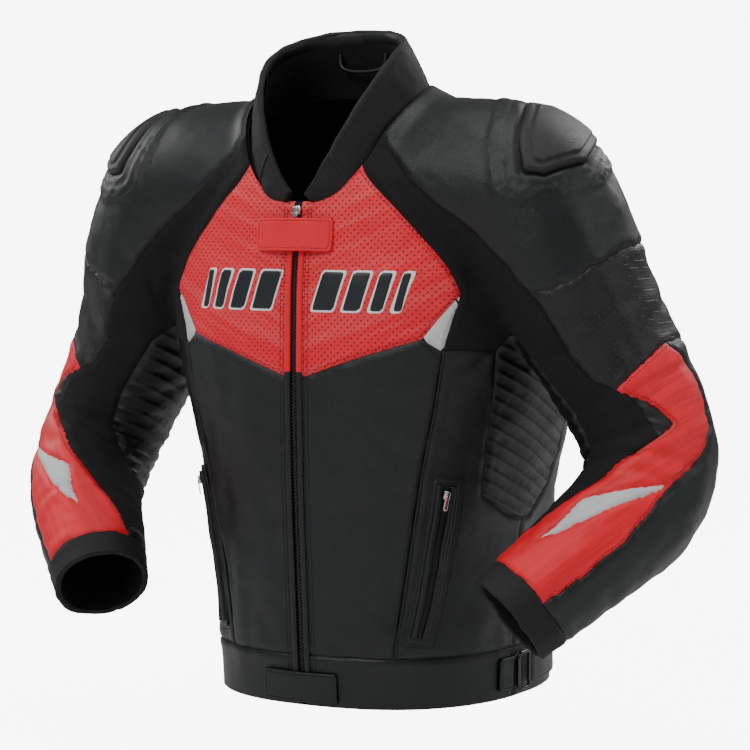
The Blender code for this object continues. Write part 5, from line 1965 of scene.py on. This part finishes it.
def build_stage():
    """Pale floor and backdrop, soft lights and the camera."""
    floor_z = -LOOP[2] - 0.055
    bpy.ops.mesh.primitive_plane_add(size=1.0, location=(0, 0, 0))
    floor = bpy.context.object
    floor.name = "floor"
    for vertex in floor.data.vertices:
        vertex.co = Vector((vertex.co.x * 16, vertex.co.y * 16, floor_z))
    material = bpy.data.materials.new("floor_white")
    material.use_nodes = True
    shader = material.node_tree.nodes["Principled BSDF"]
    shader.inputs["Base Color"].default_value = (0.80, 0.80, 0.80, 1)
    shader.inputs["Roughness"].default_value = 0.9
    shader.inputs["Emission Color"].default_value = (1, 1, 1, 1)
    tree = material.node_tree
    seen = tree.nodes.new("ShaderNodeLightPath").outputs["Is Camera Ray"]
    tree.links.new(calculate(tree, "MULTIPLY", seen, 7.6), shader.inputs["Emission Strength"])
    floor.data.materials.append(material)
    world = bpy.data.worlds.new("studio")
    bpy.context.scene.world = world
    world.use_nodes = True
    tree = world.node_tree
    around = tree.nodes["Background"]
    around.inputs[0].default_value = (1, 1, 1, 1)
    seen = tree.nodes.new("ShaderNodeLightPath").outputs["Is Camera Ray"]
    strength = calculate(tree, "MULTIPLY_ADD", seen, 7.8, 0.22)
    tree.links.new(strength, around.inputs[1])
    right = Vector((0.866, 0.5, 0.0))
    ahead = Vector((-0.5, 0.866, 0.0))
    lamps = [
        ("key", -right * 1.6 - ahead * 1.9 + Vector((0, 0, 1.5)), 1.3, 34.0),
        ("fill", right * 2.1 - ahead * 1.2 + Vector((0, 0, 0.8)), 1.3, 12.0),
        ("top", -ahead * 0.3 + Vector((0, 0, 2.1)), 1.3, 22.0),
        ("rim", right * 1.6 + ahead * 1.6 + Vector((0, 0, 1.2)), 1.2, 24.0),
        ("rim_two", -right * 1.9 + ahead * 1.2 + Vector((0, 0, 0.9)), 1.2, 20.0),
    ]
    for name, where, size, power in lamps:
        lamp = bpy.data.lights.new(name, "AREA")
        lamp.size = size
        lamp.energy = power
        made = bpy.data.objects.new(name, lamp)
        bpy.context.scene.collection.objects.link(made)
        made.location = where
        made.rotation_euler = (Vector((0, 0, -0.28)) - where).to_track_quat("-Z", "Y").to_euler()
    camera = bpy.data.cameras.new("camera")
    camera.sensor_width = 36.0
    camera.lens = 129.6
    camera.shift_x = -0.004
    camera.clip_end = 50.0
    made = bpy.data.objects.new("camera", camera)
    bpy.context.scene.collection.objects.link(made)
    at = Vector(CAMERA_AT) - Vector(LOOP)
    made.location = at
    made.rotation_euler = (Vector(CAMERA_TO) - Vector(LOOP) - at).to_track_quat("-Z", "Y").to_euler()
    bpy.context.scene.camera = made



def build_stitching():
    """Stitches on the loose pieces and along the seams."""
    loose_threads()
    sewn_threads()


# ---------------------------------------------------------------- settings, operators and panel


def length_setting(name, description, value):
    return bpy.props.FloatProperty(
        name=name, description=description, default=value, unit="LENGTH", precision=5
    )


def colour_setting(name, description, value):
    return bpy.props.FloatVectorProperty(
        name=name, description=description, default=value, subtype="COLOR", size=3, min=0.0, max=1.0
    )


class JacketSizes(bpy.types.PropertyGroup):
    """Sizes that shape the jacket's surface"""

    cell: length_setting("Surface cell", "Spacing of the points over the panels", 0.0045)
    seam_depth: length_setting("Seam depth", "How deep a seam sinks between two panels", SEAM_DEEP)
    cup_height: length_setting("Cup height", "How far the shoulder cups stand out", 0.0070)
    rib_height: length_setting("Rib height", "Height of the ribs in the side panels", 0.0022)
    stitch_length: length_setting("Stitch length", "Length of one stitch", 0.0026)
    fold_depth: bpy.props.FloatProperty(
        name="Folds", description="Depth of the folds, as a share of the usual", default=1.0, min=0.0, max=1.5
    )


class JacketColours(bpy.types.PropertyGroup):
    """Colours of the jacket"""

    leather: colour_setting("Leather", "Main leather", (0.0065, 0.0088, 0.0100))
    red: colour_setting("Red leather", "Chest, forearms and zip tab", (0.99, 0.0008, 0.0200))
    silver: colour_setting("Reflective", "Wedges and forearm flashes", (0.72, 0.74, 0.74))
    stretch: colour_setting("Stretch", "Stretch fabric", (0.0016, 0.0016, 0.0018))
    bars: colour_setting("Bars", "Slanted bars on the chest", (0.014, 0.017, 0.021))


def sizes():
    return bpy.context.scene.jacket_sizes


def colours():
    return bpy.context.scene.jacket_colours


class JacketOperator:
    """Shared by the operators: runs one builder and reports that it finished"""

    bl_options = {"REGISTER", "UNDO"}

    def execute(self, context):
        self.build()
        return {"FINISHED"}


class JACKET_OT_materials(JacketOperator, bpy.types.Operator):
    """Makes the leathers, fabrics, prints and metals"""

    bl_idname = "jacket.materials"
    bl_label = "Materials"
    build = staticmethod(make_materials)


class JACKET_OT_form(JacketOperator, bpy.types.Operator):
    """Makes the even form of the body and the sleeves"""

    bl_idname = "jacket.form"
    bl_label = "Garment form"
    build = staticmethod(base_skin)


class JACKET_OT_panels(JacketOperator, bpy.types.Operator):
    """Cuts the form into its sewn panels, with the lining inside"""

    bl_idname = "jacket.panels"
    bl_label = "Panels and lining"
    build = staticmethod(build_panels)


class JACKET_OT_collar(JacketOperator, bpy.types.Operator):
    """Adds the padded collar and its lining"""

    bl_idname = "jacket.collar"
    bl_label = "Collar"
    build = staticmethod(build_collar)


class JACKET_OT_front_zip(JacketOperator, bpy.types.Operator):
    """Adds the tape, the teeth and the folded edges beside them"""

    bl_idname = "jacket.front_zip"
    bl_label = "Front zip"
    build = staticmethod(build_zip)


class JACKET_OT_sliders(JacketOperator, bpy.types.Operator):
    """Adds the slider of the front zip and its pull"""

    bl_idname = "jacket.sliders"
    bl_label = "Front slider"
    build = staticmethod(build_sliders)


class JACKET_OT_tabs(JacketOperator, bpy.types.Operator):
    """Adds the tab over the top of the zip and the tab at the hem"""

    bl_idname = "jacket.tabs"
    bl_label = "Tabs"
    build = staticmethod(build_tabs)


class JACKET_OT_bars(JacketOperator, bpy.types.Operator):
    """Adds the slanted bars across the chest"""

    bl_idname = "jacket.bars"
    bl_label = "Chest bars"
    build = staticmethod(build_prints)


class JACKET_OT_pockets(JacketOperator, bpy.types.Operator):
    """Adds the pocket welts, teeth and sliders"""

    bl_idname = "jacket.pockets"
    bl_label = "Pockets"
    build = staticmethod(build_pockets)


class JACKET_OT_piping(JacketOperator, bpy.types.Operator):
    """Adds the piping down both front seams"""

    bl_idname = "jacket.piping"
    bl_label = "Piping"
    build = staticmethod(build_piping)


class JACKET_OT_waist(JacketOperator, bpy.types.Operator):
    """Adds the straps, loops and rings at the hem"""

    bl_idname = "jacket.waist"
    bl_label = "Waist adjusters"
    build = staticmethod(build_waist)


class JACKET_OT_cups(JacketOperator, bpy.types.Operator):
    """Adds the hard cups on the shoulders"""

    bl_idname = "jacket.cups"
    bl_label = "Shoulder cups"
    build = staticmethod(build_cups)


class JACKET_OT_nape(JacketOperator, bpy.types.Operator):
    """Adds the loop at the nape"""

    bl_idname = "jacket.nape"
    bl_label = "Hanging loop"
    build = staticmethod(build_inside)


class JACKET_OT_stitching(JacketOperator, bpy.types.Operator):
    """Adds all the stitches"""

    bl_idname = "jacket.stitching"
    bl_label = "Stitching"
    build = staticmethod(build_stitching)


class JACKET_OT_stage(JacketOperator, bpy.types.Operator):
    """Adds the floor, the lights and the camera"""

    bl_idname = "jacket.stage"
    bl_label = "Stage"
    build = staticmethod(build_stage)


OPERATORS = (
    JACKET_OT_materials,
    JACKET_OT_form,
    JACKET_OT_panels,
    JACKET_OT_collar,
    JACKET_OT_front_zip,
    JACKET_OT_sliders,
    JACKET_OT_tabs,
    JACKET_OT_bars,
    JACKET_OT_pockets,
    JACKET_OT_piping,
    JACKET_OT_waist,
    JACKET_OT_cups,
    JACKET_OT_nape,
    JACKET_OT_stitching,
    JACKET_OT_stage,
)


class JACKET_PT_sidebar(bpy.types.Panel):
    """Lists the settings and the building steps"""

    bl_idname = "JACKET_PT_sidebar"
    bl_label = "Leather riding jacket"
    bl_space_type = "VIEW_3D"
    bl_region_type = "UI"
    bl_category = "Jacket"

    def draw(self, context):
        for group in (context.scene.jacket_sizes, context.scene.jacket_colours):
            box = self.layout.box()
            for name in group.__annotations__:
                box.prop(group, name)
        for operator in OPERATORS:
            self.layout.operator(operator.bl_idname)


CLASSES = (JacketSizes, JacketColours, *OPERATORS, JACKET_PT_sidebar)


def register():
    for entry in CLASSES:
        bpy.utils.register_class(entry)
    bpy.types.Scene.jacket_sizes = bpy.props.PointerProperty(type=JacketSizes)
    bpy.types.Scene.jacket_colours = bpy.props.PointerProperty(type=JacketColours)


def unregister():
    del bpy.types.Scene.jacket_colours
    del bpy.types.Scene.jacket_sizes
    for entry in reversed(CLASSES):
        bpy.utils.unregister_class(entry)


def main():
    register()
    for operator in OPERATORS:
        getattr(bpy.ops.jacket, operator.bl_idname.split(".")[1])()


if __name__ == "__main__":
    main()
